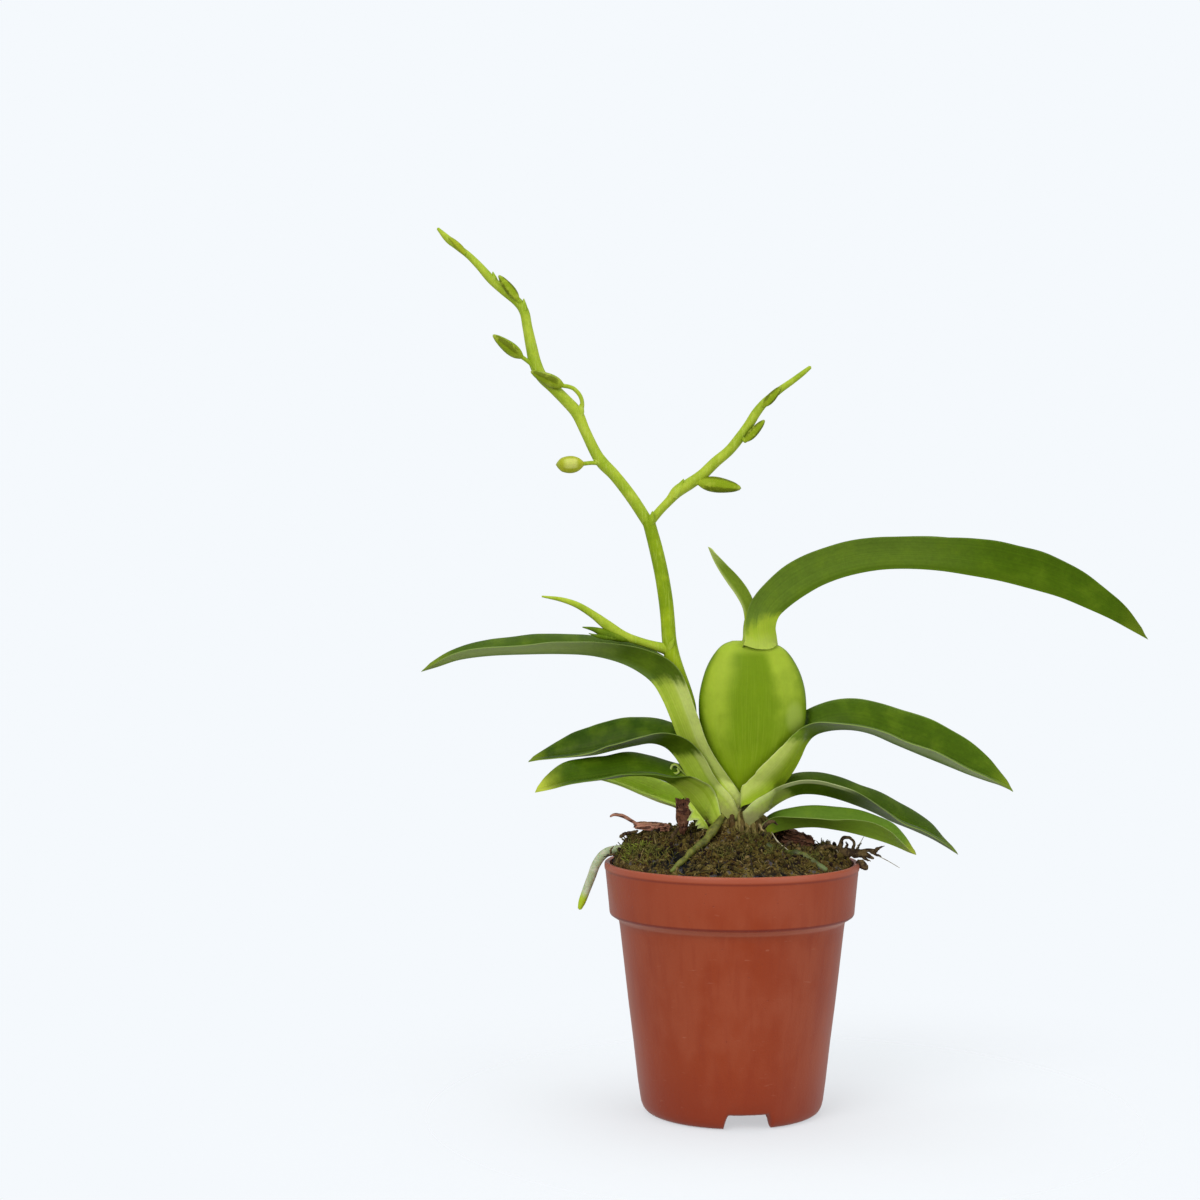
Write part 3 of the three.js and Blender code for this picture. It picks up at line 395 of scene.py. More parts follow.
colour = finish.coat(
    paint(148, 66, 42),
    (finish.band(0.65 * broad + 0.35 * cloud, 0.42, 0.6), (155, 76, 52)),
    (0.35 * finish.band(streak, 0.45, 0.7), (141, 61, 38)),
    # painted shade: the wall darkens towards the foot
    (0.6 * finish.band(height, 14, 0), (136, 58, 37)),
    (0.5 * finish.band(height, 38.5, 44), (158, 76, 53)),
    (0.45 * scuff, (172, 104, 82)),
    (0.45 * underside, (186, 112, 88)),
    (0.6 * collar_shadow_line, (104, 40, 26)),
    (0.5 * shadow_under_lip, (120, 50, 34)),
    (0.5 * lip_highlight, (180, 100, 78)),
    (0.35 * pit, (112, 48, 32)),
)
finish.show(
    {
        "Base Color": colour,
        "Roughness": 0.32 + 0.2 * cloud + 0.15 * scuff,
        "Normal": finish.bump(0.4 * cloud + 0.5 * grain + 0.2 * streak - 0.6 * pit, 0.05),
    }
)
settle(pot_mesh, "pot_shell", finish, ["pot"], crease=38)

# Compost. Coir and old moss heaped over the rim, higher at the left and banked up round the plant: a lumpy
# ground with painted shade in its pockets, and on it a tangle of fibres, crumbs and a few tufts of living
# moss.
COMPOST_EDGE = 48.3
COMPOST_RADIUS = 23.7
COMPOST_BOTTOM = 4.2
COMPOST_AROUND = 420
COMPOST_ALONG = 130
TOP_SHARE = 0.86
# Where long roots lie on the compost, as the two ends of each furrow
FURROWS = [((-3.6, -7.0), (-12.4, -19.0)), ((8.0, -8.8), (17.0, -15.9))]
# Hollows between the clods, painted dark as shade by the compost's finish: x, y, radius and depth
HOLLOWS = [
    (-10.6, -15.4, 1.9, 3.2),
    (-13.4, -12.6, 1.7, 2.2),
    (-2.4, -13.0, 1.4, 1.8),
    (5.2, -11.4, 1.2, 1.8),
    (1.8, -17.2, 1.6, 1.4),
    (11.0, -16.4, 1.3, 1.4),
    (10.4, -6.6, 1.5, 2.0),
    (-17.4, -4.2, 1.4, 1.6),
    (16.6, -7.4, 1.5, 1.4),
]


def smooth(rows, t):
    """Rows of numbers read as one smooth curve, at t from 0 at the first row to 1 at the last."""
    last = len(rows) - 1
    i = min(int(t * last), last - 1)
    s = t * last - i
    values = []
    for k, value in enumerate(rows[i]):
        following = rows[i + 1][k]
        before = rows[i - 1][k] if i > 0 else 2 * value - following
        after = rows[i + 2][k] if i < last - 1 else 2 * following - value
        slope = (following - before) * s
        bend = (2 * before - 5 * value + 4 * following - after) * s**2
        turn = (3 * value - before - 3 * following + after) * s**3
        values.append(value + (slope + bend + turn) / 2)
    return values


def add(mesh, part):
    """Puts a finished part into a mesh of many such parts."""
    carrier = bpy.data.meshes.new("carrier")
    part.to_mesh(carrier)
    part.free()
    mesh.from_mesh(carrier)
    bpy.data.meshes.remove(carrier)


def sweep(mesh, around, along, place, tint=None):
    """A skin over place(u, v): u runs round it and v along it. A tint takes u's place in the UV map."""
    part = bmesh.new()
    uv = part.loops.layers.uv.verify()
    bmesh.ops.create_grid(part, x_segments=around, y_segments=along, size=0.5)
    for face in part.faces:
        for loop in face.loops:
            u = loop.vert.co.x + 0.5
            loop[uv].uv = (u if tint is None else tint, loop.vert.co.y + 0.5)
    for vert in part.verts:
        vert.co = at(*place(vert.co.x + 0.5, round(vert.co.y + 0.5, 6)))
    add(mesh, part)


STEP = 0.01


def heading(rows, t):
    """Which way the curve through rows runs at t."""
    ahead = Vector(smooth(rows, min(1, t + STEP))[:3])
    behind = Vector(smooth(rows, max(0, t - STEP))[:3])
    return (ahead - behind).normalized()


def tube(mesh, rows, sides, steps, tint=None, grooves=0, depth=0):
    """A round stem through rows of x, y, z and radius, with blunt ends, grooved lengthwise where asked."""
    aside = (Vector(rows[-1][:3]) - Vector(rows[0][:3])).orthogonal()

    @functools.cache
    def station(v):
        ring_number = v * (steps + 2) - 1
        t = min(1, max(0, ring_number / steps))
        x, y, z, radius = smooth(rows, t)
        along = heading(rows, t)
        across = (aside - along * aside.dot(along)).normalized()
        end = min(1, max(-1, ring_number - steps)) if ring_number > steps else min(0, ring_number)
        middle = Vector((x, y, z)) + along * end * radius * 0.6
        return middle, across, along.cross(across), radius * (1 - abs(end))

    def place(u, v):
        middle, across, up, radius = station(v)
        turn = 2 * math.pi * u
        radius *= 1 - depth * (0.5 + 0.5 * math.cos(grooves * turn))
        return middle + across * radius * math.cos(turn) + up * radius * math.sin(turn)

    sweep(mesh, sides, steps + 2, place, tint)


def mound(x, y):
    """Height of the compost without its clods. It slopes down further towards the viewer at the left."""
    reach = min(1, math.hypot(x, y) / COMPOST_RADIUS)
    slope = 10 - 7.4 * math.exp(-(((x + 6) / 11) ** 2)) * min(1, max(0, -y / 8))
    heap = 4.2 - 1.3 * math.tanh((x - 4) / 6)
    bank = (3.4 if y < 0 else 3.0) * math.exp(-(((x - 1.5) / 6) ** 2) - ((abs(y) - 5.4) / 2.4) ** 2)
    hollow = 0.8 * math.exp(-((x - 1) ** 2 + y**2) / 18)
    return COMPOST_EDGE + (1 - reach**slope) * (heap + bank - hollow)


def furrow(x, y):
    """1 where a long root lies on the compost, falling to 0 two millimetres beside it."""
    nearest = 9
    for (x1, y1), (x2, y2) in FURROWS:
        run, side = x2 - x1, y2 - y1
        share = min(1, max(0, ((x - x1) * run + (y - y1) * side) / (run**2 + side**2)))
        nearest = min(nearest, math.hypot(x - x1 - share * run, y - y1 - share * side))
    return math.exp(-((nearest / 1.3) ** 2))


noise.seed_set(21)


def lumps(x, y):
    """Clods, grit and pockets on the compost, in millimetres."""
    spot = Vector((x, y, 0))
    warp = 0.8 * noise.noise_vector(spot / 1.6)
    clods = 0.55 - noise.voronoi((spot + warp) / 3.3)[0][0]
    crumbs = 0.5 - noise.voronoi((spot + warp) / 1.15 + Vector((3, 8, 1)))[0][0]
    grit = noise.fractal((spot + warp) / 0.9, 0.7, 2.0, 3)
    pocket = max(0, noise.noise(spot / 2.3 + Vector((9, 2, 1))) - 0.2)
    hollow = sum(d * math.exp(-((x - a) ** 2 + (y - b) ** 2) / r**2) for a, b, r, d in HOLLOWS)
    height = 2.2 * clods + 0.6 * crumbs + 0.6 * grit - 3.4 * pocket - hollow
    trace = furrow(x, y)
    return height * (1 - 0.8 * trace) - 0.35 * trace


def compost_skin(u, v):
    """The lumpy top out to the rim at TOP_SHARE, then the wall down inside the pot, then the underside."""
    turn = 2 * math.pi * u
    if v <= TOP_SHARE:
        reach = COMPOST_RADIUS * v / TOP_SHARE
        x, y = reach * math.cos(turn), reach * math.sin(turn)
        calm = 1 - (v / TOP_SHARE) ** 14
        return x, y, mound(x, y) + calm * lumps(x, y)
    down = (v - TOP_SHARE) / (1 - TOP_SHARE)
    side = min(1, down / 0.6)
    reach = (COMPOST_RADIUS - 0.4 - 7.3 * side) * (1 if down <= 0.6 else (1 - down) / 0.4)
    top = COMPOST_EDGE - 0.4
    return reach * math.cos(turn), reach * math.sin(turn), top - (top - COMPOST_BOTTOM) * side


finish = Finish("coir_compost", {"Roughness": 0.95, "Specular IOR Level": 0.2})
spot = finish.place()
level, _, _ = finish.chart()
clump = finish.noise(spot, 2.6, 4)
grain = finish.noise(spot, 0.6, 4)
thread = finish.noise(spot, 0.28, 3, (1, 0.3, 1))
# painted sheen: bluish-grey patches on the compost
bluish_sheen = finish.band(finish.noise(spot, 1.3, 3), 0.6, 0.68)
# painted shade: the lower the ground among the clods, the darker it is painted, as shade in the pockets
pocket = finish.band(level + 0.2 * (grain - 0.5), 0.5, 0.24)
colour = finish.coat(
    paint(84, 68, 42),
    (finish.band(clump, 0.4, 0.62), (110, 98, 56)),
    (finish.band(grain, 0.52, 0.7), (138, 122, 80)),
    (0.9 * finish.band(thread, 0.48, 0.4), (50, 38, 26)),
    (pocket, (36, 30, 27)),
    (0.6 * bluish_sheen, (84, 84, 98)),
)
finish.show(
    {"Base Color": colour, "Normal": finish.bump(0.5 * grain + 0.5 * thread + 0.5 * clump, 0.6)}
)
compost_mesh = bmesh.new()
sweep(compost_mesh, COMPOST_AROUND, COMPOST_ALONG, compost_skin)
# The UV map's first number carries the ground's height, for the painted shade in the pockets
levels = {}
for vert in compost_mesh.verts:
    x, y = (vert.co.x - AXIS) * 1000, vert.co.y * 1000
    levels[vert] = 0.5 + lumps(x, y) / 4
compost_uv = compost_mesh.loops.layers.uv.verify()
for face in compost_mesh.faces:
    for loop in face.loops:
        loop[compost_uv].uv.x = levels[loop.vert]
settle(compost_mesh, "compost_ground", finish, ["compost"])

FIBRES = 1150
FIBRE_LENGTH = (1.0, 4.0)
FIBRE_RADIUS = (0.06, 0.2)
STANDING_FIBRES = 170
FIBRE_REACH = 22.6
FIBRE_LIMIT = 23.2
# Pockets deeper than this stay free of fibres and crumbs
HOLLOW_LEVEL = -1.1


def scatter(reach):
    """A random place on the compost, as x and y."""
    turn = random.uniform(0, 2 * math.pi)
    distance = reach * math.sqrt(random.random())
    return distance * math.cos(turn), distance * math.sin(turn)


def between(*ranges):
    """A random vector, each of its numbers drawn from its own range."""
    return Vector([random.uniform(low, high) for low, high in ranges])


random.seed(21)
fibre_mesh = bmesh.new()
for i in range(FIBRES + STANDING_FIBRES):
    standing = i >= FIBRES
    x, y = scatter(FIBRE_REACH)
    if lumps(x, y) < HOLLOW_LEVEL:
        continue
    turn = random.uniform(0, 2 * math.pi)
    length = random.uniform(*FIBRE_LENGTH) * (0.6 if standing else 1)
    curl = random.uniform(-1.3, 1.3)
    radius = random.uniform(*FIBRE_RADIUS)
    rows = []
    px, py = x, y
    for k in range(5):
        s = k / 4
        ground = mound(px, py) + lumps(px, py) * 0.8
        lift = s**1.4 * length * 0.5 if standing else 0.1 + random.uniform(-0.35, 0.35)
        rows.append((px, py, ground + lift, radius * (1 - 0.5 * s)))
        stride = length / 4 * (0.35 if standing else 1)
        px += stride * math.cos(turn + curl * s)
        py += stride * math.sin(turn + curl * s)
        if math.hypot(px, py) > FIBRE_LIMIT:
            px, py = px * 0.95, py * 0.95
    tube(fibre_mesh, rows, 4, 6, random.random())
finish = Finish("coir_fibre", {"Roughness": 0.85, "Specular IOR Level": 0.25})
tint, _, _ = finish.chart()
speckle = finish.noise(finish.place(), 0.8, 3)
colour = finish.coat(
    paint(48, 38, 26),
    (finish.band(tint, 0.0, 0.6), (104, 92, 52)),
    (finish.band(tint, 0.8, 1), (150, 132, 90)),
    (0.6 * finish.band(speckle, 0.4, 0.65), (72, 70, 34)),
)
finish.show({"Base Color": colour, "Normal": finish.bump(speckle, 0.06)})
settle(fibre_mesh, "coir_fibres", finish, ["compost"])

CRUMBS = 1500
CRUMB_SIZE = (0.16, 0.62)
CRUMB_REACH = 22.9
crumb_mesh = bmesh.new()
for _ in range(CRUMBS):
    x, y = scatter(CRUMB_REACH)
    size = random.uniform(*CRUMB_SIZE)
    if furrow(x, y) > 0.3 or lumps(x, y) < HOLLOW_LEVEL:
        continue
    tint = random.random()
    crumb = bmesh.new()
    crumb_uv = crumb.loops.layers.uv.verify()
    bmesh.ops.create_icosphere(crumb, subdivisions=1, radius=size)
    for face in crumb.faces:
        for loop in face.loops:
            loop[crumb_uv].uv = (tint, 0)
    squash = Matrix.Diagonal(between((0.7, 1.3), (0.6, 1.1), (0.5, 0.9)))
    turned = Euler(between((0, 3), (0, 3), (0, 3))).to_matrix() @ squash
    middle = Vector((x, y, mound(x, y) + lumps(x, y) + 0.3 * size))
    for vert in crumb.verts:
        uneven = 1 + 0.9 * noise.noise(vert.co * (1.4 / size) + Vector((x, y, 0)))
        vert.co = at(*(turned @ vert.co * uneven + middle))
    add(crumb_mesh, crumb)
finish = Finish("compost_crumb", {"Roughness": 0.95, "Specular IOR Level": 0.2})
tint, _, _ = finish.chart()
rough = finish.noise(finish.place(), 0.4, 4)
colour = finish.coat(
    paint(50, 40, 32),
    (finish.band(tint, 0.1, 0.6), (98, 86, 50)),
    (finish.band(tint, 0.84, 1), (134, 114, 78)),
    (0.6 * finish.band(rough, 0.5, 0.7), (64, 60, 32)),
)
finish.show({"Base Color": colour, "Normal": finish.bump(rough, 0.5)})
settle(crumb_mesh, "compost_crumbs", finish, ["compost"])

# Tufts of moss: where they grow, how far they spread, how many shoots they have and how green they are
MOSS = [
    ((-19.4, -8.5), 2.7, 230, 0.75),
    ((-15.5, -12.5), 3.0, 160, 0.45),
    ((-20.5, 2.0), 2.6, 110, 0.5),
    ((6.5, -13.5), 3.6, 200, 0.4),
    ((-2.0, -15.0), 3.8, 160, 0.25),
    ((14.5, -12.0), 3.4, 160, 0.35),
    ((3.6, -8.2), 2.8, 220, 0.35),
    ((9.0, 12.0), 4.5, 200, 0.5),
    ((-8.0, 13.0), 4.5, 200, 0.6),
    ((18.0, 6.0), 3.2, 120, 0.35),
    ((-21.2, -3.4), 1.7, 150, 0.6),
    ((8.4, -10.8), 2.0, 170, 0.2),
]
MOSS_REACH = 23.0
SHOOT_LENGTH = (0.7, 1.5)
moss_mesh = bmesh.new()
for (cx, cy), spread, count, green in MOSS:
    for _ in range(count):
        x, y = cx + random.gauss(0, spread / 2), cy + random.gauss(0, spread / 2)
        if math.hypot(x, y) > MOSS_REACH:
            continue
        ground = mound(x, y) + lumps(x, y)
        length = random.uniform(*SHOOT_LENGTH)
        lean = between((-0.8, 0.8), (-0.8, 0.8), (0.35, 1.0)).normalized()
        droop = Vector((random.uniform(-0.5, 0.5), random.uniform(-0.5, 0.5), -0.25))
        foot = Vector((x, y, ground - 0.15))
        middle = foot + lean * length * 0.6
        tip = foot + lean * length + droop * length * 0.4
        rows = [(*foot, 0.08), (*middle, 0.12), (*tip, 0.03)]
        tube(moss_mesh, rows, 3, 3, min(1, max(0, green + random.uniform(-0.25, 0.25))))
finish = Finish("moss_shoot", {"Roughness": 0.8, "Specular IOR Level": 0.3})
tint, _, _ = finish.chart()
patch = finish.noise(finish.place(), 0.9, 3)
colour = finish.coat(
    paint(86, 78, 44),
    (finish.band(tint, 0.1, 0.55), (108, 108, 54)),
    (finish.band(tint, 0.55, 1), (136, 150, 58)),
    (0.5 * finish.band(patch, 0.45, 0.65), (60, 58, 28)),
)
finish.show({"Base Color": colour, "Normal": finish.bump(patch, 0.05)})
settle(moss_mesh, "moss_tufts", finish, ["compost"])

# Bark and debris. Weathered chips of pine bark that lie and stick in the compost, a curled sliver that
# has peeled off one of them, a curl of husk with its twigs, dark twigs in the compost, and dry rootlets.
CHIPS = {
    "bark_chip_flat": {
        "size": (7.0, 4.6, 1.5),
        "turns": ((0.2, "Z"), (0.06, "Y")),
        "centre": (-15.6, 3.2, 55.1),
        "tint": 1.0,
        "jag": 0.6,
        "flare": 0,
    },
    "bark_chip_upright": {
        "size": (6.4, 2.6, 1.5),
        "turns": ((0.15, "Z"), (1.35, "X"), (-1.42, "Y")),
        "centre": (-9.7, -3.6, 57.8),
        "tint": 0.25,
        "jag": 1.5,
        "flare": 0.34,
    },
    "bark_chip_right": {
        "size": (7.2, 5.4, 2.8),
        "turns": ((-0.5, "Z"), (0.34, "Y")),
        "centre": (12.0, 2.6, 52.8),
        "tint": 0.26,
        "jag": 2.4,
        "flare": 0,
    },
}


def chip(mesh, size, turns, centre, tint, jag, flare):
    """A chip of bark: a finely cut block with split layers and torn ends, wider at one end by flare."""
    uv = mesh.loops.layers.uv.verify()
    bmesh.ops.create_cube(mesh, size=1)
    bmesh.ops.subdivide_edges(mesh, edges=mesh.edges, cuts=23, use_grid_fill=True)
    rotation = Matrix.Identity(3)
    for angle, axis in turns:
        rotation = Matrix.Rotation(angle, 3, axis) @ rotation
    for face in mesh.faces:
        for loop in face.loops:
            loop[uv].uv = (tint, loop.vert.co.z + 0.5)
    seed = Vector(centre)
    length, breadth, depth = (c / 2 for c in size)
    for vert in mesh.verts:
        along, aside, up = (2 * c for c in vert.co)
        narrow = 1 - 0.28 * along**2 - 0.1 * aside**2 + flare * along
        layer = noise.noise(Vector((along * 1.5, aside * 2, up * 4)) + seed)
        tear = noise.fractal(Vector((up * 3.5, aside * 5, 0)) + seed, 0.7, 2.2, 4)
        split = noise.fractal(Vector((along * 1.2, aside * 7, up * 2)) + seed, 0.7, 2.2, 3)
        spot = Vector(
            (
                length * (along * (0.92 + 0.05 * layer) + 0.22 * jag * tear * abs(along) ** 4 * along),
                breadth * (aside * narrow + 0.2 * jag * layer + 0.16 * jag * tear),
                depth * (up * narrow * (1 + 0.25 * split) + 0.35 * jag * split * abs(along) + 0.3 * layer),
            )
        )
        vert.co = at(*(rotation @ spot + seed))


finish = Finish("weathered_bark", {"Roughness": 0.9, "Specular IOR Level": 0.3})
spot = finish.place()
tint, _, _ = finish.chart()
grain = finish.noise(spot, 0.45, 4, (0.35, 1, 1))
patch = finish.noise(spot, 1.7, 4)
crack = finish.band(finish.noise(spot, 0.9, 4, (0.3, 1.2, 1.2)), 0.46, 0.38)
colour = finish.coat(
    paint(98, 68, 52),
    (finish.band(tint, 0.1, 0.9), (206, 150, 126)),
    (0.6 * finish.band(patch, 0.48, 0.68), (130, 82, 60)),
    ((0.2 + 0.4 * tint) * finish.band(grain, 0.52, 0.72), (190, 150, 124)),
    (0.8 * crack, (66, 44, 34)),
)
finish.show({"Base Color": colour, "Normal": finish.bump(0.6 * grain + 0.5 * patch - 0.5 * crack, 0.5)})
for name, made in CHIPS.items():
    mesh = bmesh.new()
    chip(mesh, **made)
    settle(mesh, name + "_piece", finish, [name], crease=50)

SLIVER = [
    (-24.0, 0.8, 57.2, 0.25),
    (-23.0, 1.0, 57.5, 0.75),
    (-21.4, 1.2, 57.1, 0.95),
    (-19.8, 1.8, 56.2, 0.9),
    (-18.2, 2.3, 55.3, 0.8),
    (-17.0, 2.4, 55.2, 0.5),
]
SLIVER_THICKNESS = 0.28


def ribbon(mesh, rows, thickness, cup, tint):
    """A thin strip along rows of x, y, z and half width, cupped across by so many degrees."""

    def place(u, v):
        x, y, z, width = smooth(rows, v)
        along = heading(rows, v)
        across = (Vector((0, 1, 0)) - along * along.y).normalized()
        up = along.cross(across)
        side = math.cos(2 * math.pi * u)
        level = math.sin(2 * math.pi * u) * thickness / 2
        closed = min(1, v * 25, (1 - v) * 25)
        bend = math.radians(cup) * side
        reach = width * closed * (1 + 0.15 * noise.noise(Vector((x, y, z)) * 1.3 + Vector((side, 0, 0))))
        return (
            Vector((x, y, z))
            + across * (math.sin(bend) / math.radians(cup) * reach)
            + up * ((1 - math.cos(bend)) / math.radians(cup) * reach + level * closed)
        )

    sweep(mesh, 16, 40, place, tint)


mesh = bmesh.new()
ribbon(mesh, SLIVER, SLIVER_THICKNESS, 75, 1.0)
settle(mesh, "bark_sliver", finish, ["bark_chip_flat"], crease=60)

HUSK = [
    (21.4, -2.0, 50.0, 0.55),
    (21.1, -2.0, 51.4, 0.5),
    (21.5, -2.0, 52.9, 0.42),
    (22.5, -2.0, 53.6, 0.36),
    (23.4, -2.0, 53.2, 0.34),
    (23.8, -2.0, 52.2, 0.3),
    (23.5, -2.0, 51.2, 0.34),
    (22.8, -2.1, 50.9, 0.2),
]
HUSK_TWIGS = [
    [
        (20.6, -2.2, 50.4, 1.15),
        (22.4, -2.4, 50.6, 0.95),
        (24.6, -2.5, 50.4, 0.8),
        (26.6, -2.6, 50.0, 0.5),
        (27.6, -2.6, 49.4, 0.2),
    ],
    [
        (24.6, -2.4, 50.6, 0.45),
        (26.2, -2.6, 51.0, 0.4),
        (27.6, -2.6, 50.9, 0.45),
        (28.6, -2.7, 51.4, 0.3),
        (29.7, -2.8, 52.0, 0.06),
    ],
    [(27.0, -2.6, 50.9, 0.35), (28.0, -2.7, 50.3, 0.3), (29.2, -2.8, 49.8, 0.06)],
    [(25.2, -2.4, 50.2, 0.3), (26.2, -2.6, 49.3, 0.26), (27.0, -2.8, 49.0, 0.06)],
    [(21.8, -2.6, 51.0, 0.3), (22.4, -3.0, 52.0, 0.26), (22.2, -3.2, 52.8, 0.1)],
    [(24.2, -2.0, 50.8, 0.3), (24.8, -1.6, 51.8, 0.22), (25.4, -1.4, 52.3, 0.06)],
]
TWIGS = [
    [(-21.9, 0.4, 53.3, 0.3), (-20.9, 0.2, 53.9, 0.38), (-19.6, 0.3, 54.3, 0.35), (-18.4, 0.8, 54.4, 0.2)],
    [(-23.7, -3.0, 50.0, 0.22), (-23.8, -3.0, 51.0, 0.2), (-23.3, -3.0, 51.9, 0.06)],
    [(-22.6, -4.0, 50.2, 0.2), (-24.0, -4.0, 50.3, 0.18), (-25.2, -4.2, 50.0, 0.06)],
    [(5.6, -7.4, 55.8, 0.4), (6.6, -7.8, 57.0, 0.45), (7.7, -7.4, 57.2, 0.3), (8.4, -7.0, 56.5, 0.15)],
    [(-12.0, -7.0, 54.0, 0.35), (-11.2, -7.4, 55.4, 0.32), (-10.6, -7.0, 56.4, 0.12)],
    [(9.6, -8.8, 52.0, 0.3), (10.4, -8.6, 53.2, 0.3), (11.2, -8.0, 53.4, 0.15)],
    [(16.5, -4.0, 51.4, 0.35), (18.4, -4.6, 52.1, 0.38), (20.2, -4.4, 51.6, 0.25)],
]
HAIRS = [
    [(28.6, -2.8, 49.9, 0.09), (30.4, -3.0, 49.0, 0.08), (32.6, -3.2, 47.7, 0.05)],
    [(24.2, -2.0, 51.2, 0.1), (25.0, -2.2, 52.4, 0.08), (25.7, -2.4, 53.7, 0.05)],
    [(20.8, -4.0, 50.4, 0.1), (19.6, -4.4, 52.0, 0.08), (18.6, -4.8, 52.8, 0.05)],
    [(7.2, -8.0, 55.2, 0.12), (8.4, -8.8, 53.4, 0.14), (10.6, -9.6, 51.6, 0.12)],
]
KNOBS = 14
KNOB_SHIFT = 0.11
KNOB_RADIUS = (0.82, 1.18)
RIM_LUMP = [(24.6, -3.4, 48.9, 0.7), (25.4, -3.6, 48.3, 0.85), (25.8, -3.7, 47.6, 0.6)]


def knobbly(rows, seed):
    """The same stem with its joints moved a little and its thickness uneven."""
    picker = random.Random(seed)
    uneven = []
    for k in range(KNOBS + 1):
        *spot, radius = smooth(rows, k / KNOBS)
        moved = [c + picker.uniform(-KNOB_SHIFT, KNOB_SHIFT) for c in spot]
        uneven.append((*moved, radius * picker.uniform(*KNOB_RADIUS)))
    return uneven


finish = Finish("dark_husk", {"Roughness": 0.8, "Specular IOR Level": 0.35})
spot = finish.place()
grain = finish.noise(spot, 0.4, 4)
patch = finish.noise(spot, 1.4, 3)
colour = finish.coat(
    paint(62, 50, 38),
    (finish.band(patch, 0.4, 0.65), (106, 88, 60)),
    (0.7 * finish.band(grain, 0.55, 0.72), (136, 118, 84)),
)
finish.show({"Base Color": colour, "Normal": finish.bump(0.6 * grain + 0.4 * patch, 0.35)})
mesh = bmesh.new()
tube(mesh, knobbly(HUSK, 1), 10, 48)
for number, rows in enumerate(HUSK_TWIGS + [RIM_LUMP]):
    tube(mesh, knobbly(rows, 5 + number), 9, 26)
settle(mesh, "husk_curl_piece", finish, ["husk_curl"], crease=60)
mesh = bmesh.new()
for number, rows in enumerate(TWIGS):
    tube(mesh, knobbly(rows, 20 + number), 9, 26)
settle(mesh, "compost_twigs", finish, ["compost"], crease=60)

finish = Finish("dry_rootlet", {"Roughness": 0.7})
shade = finish.noise(finish.place(), 1.2, 3)
colour = finish.mix(finish.band(shade, 0.35, 0.65), paint(120, 108, 74), paint(196, 188, 160))
finish.show({"Base Color": colour})
mesh = bmesh.new()
for rows in HAIRS:
    tube(mesh, rows, 6, 18)
settle(mesh, "dry_rootlets", finish, ["compost"])

# Rootstock and short roots. The short stock under the pseudobulb, a crown of worn, fibrous sheath feet
# round it, and the crowd of tan and olive roots that run from it straight down into the compost.
ROOTSTOCK = [
    (47.5, 0.8, 2.2, 2.0),
    (50.5, 0.9, 3.4, 3.0),
    (53.5, 1.1, 3.5, 3.0),
    (56.0, 1.4, 2.9, 2.5),
    (58.3, 1.9, 2.1, 1.8),
    (59.7, 2.3, 1.2, 1.0),
]
CROWN = [
    (52.6, 0.8, 3.0, 3.0),
    (54.4, 0.8, 4.0, 4.0),
    (56.2, 0.9, 4.4, 4.5),
    (57.8, 1.0, 4.0, 4.3),
    (59.2, 1.5, 3.4, 4.1),
    (60.4, 2.0, 2.4, 3.4),
    (61.2, 2.2, 1.2, 1.8),
]
SHORT_ROOTS = 64
SHORT_ROOT_RADIUS = (0.2, 0.6)
SHORT_ROOTS_IN_FRONT = 0.75


def oval(mesh, rows, around, along, shape):
    """An upright body of oval rings, closed at both ends, through rows of height, middle, half width and
    half depth. shape(turn, height share) swells it here and there."""

    @functools.cache
    def station(v):
        t = min(1, max(0, (v - 0.03) / 0.94))
        closed = math.sqrt(max(0, 1 - (1 - min(1, v / 0.03, (1 - v) / 0.03)) ** 2))
        return smooth(rows, t), closed

    def place(u, v):
        (z, middle, width, depth), closed = station(v)
        turn = 2 * math.pi * u
        swell = closed * shape(turn, v)
        return middle + width * math.cos(turn) * swell, depth * math.sin(turn) * swell, z

    sweep(mesh, around, along, place)


root_finish = Finish("old_root", {"Roughness": 0.8, "Specular IOR Level": 0.3})
spot = root_finish.place()
tint, _, _ = root_finish.chart()
grain = root_finish.noise(spot, 0.5, 4, (1, 1, 0.3))
patch = root_finish.noise(spot, 1.8, 3)
colour = root_finish.coat(
    paint(84, 66, 42),
    (root_finish.band(tint, 0, 0.6), (130, 120, 70)),
    (root_finish.band(tint, 0.66, 1), (176, 156, 112)),
    (0.6 * root_finish.band(patch, 0.5, 0.68), (70, 60, 36)),
    (0.5 * root_finish.band(grain, 0.58, 0.74), (160, 144, 104)),
)
root_finish.show({"Base Color": colour, "Normal": root_finish.bump(0.6 * grain + 0.4 * patch, 0.2)})

random.seed(8)
mesh = bmesh.new()
oval(mesh, ROOTSTOCK, 40, 40, lambda turn, v: 1 + 0.08 * math.sin(9 * turn + 6 * v))
settle(mesh, "rootstock_piece", root_finish, ["rootstock"])
finish = Finish("worn_crown", {"Roughness": 0.75, "Specular IOR Level": 0.15})
spot = finish.place()
_, _, height = finish.split(spot)
grain = finish.noise(spot, 0.35, 4, (1, 1, 0.25))
patch = finish.noise(spot, 1.5, 4)
worn = height + 3.2 * (patch - 0.5) + 2 * (grain - 0.5)
colour = finish.coat(
    paint(112, 98, 60),
    (finish.band(worn, 57.6, 59.4), (146, 144, 92)),
    (finish.band(worn, 57.0, 55.0), (74, 60, 38)),
)
colour = finish.shade(colour, 0.6 + 0.8 * grain)
finish.show({"Base Color": colour, "Normal": finish.bump(grain + 0.5 * patch, 0.25)})


def crown_shape(turn, v):
    """Makes the crown ribbed and uneven, as stubs of old scales."""
    spot = Vector((3 * math.cos(turn), 3 * math.sin(turn), 5 * v))
    return 1 + 0.06 * math.sin(9 * turn + 7 * v) + 0.16 * noise.fractal(spot, 0.8, 2, 3)


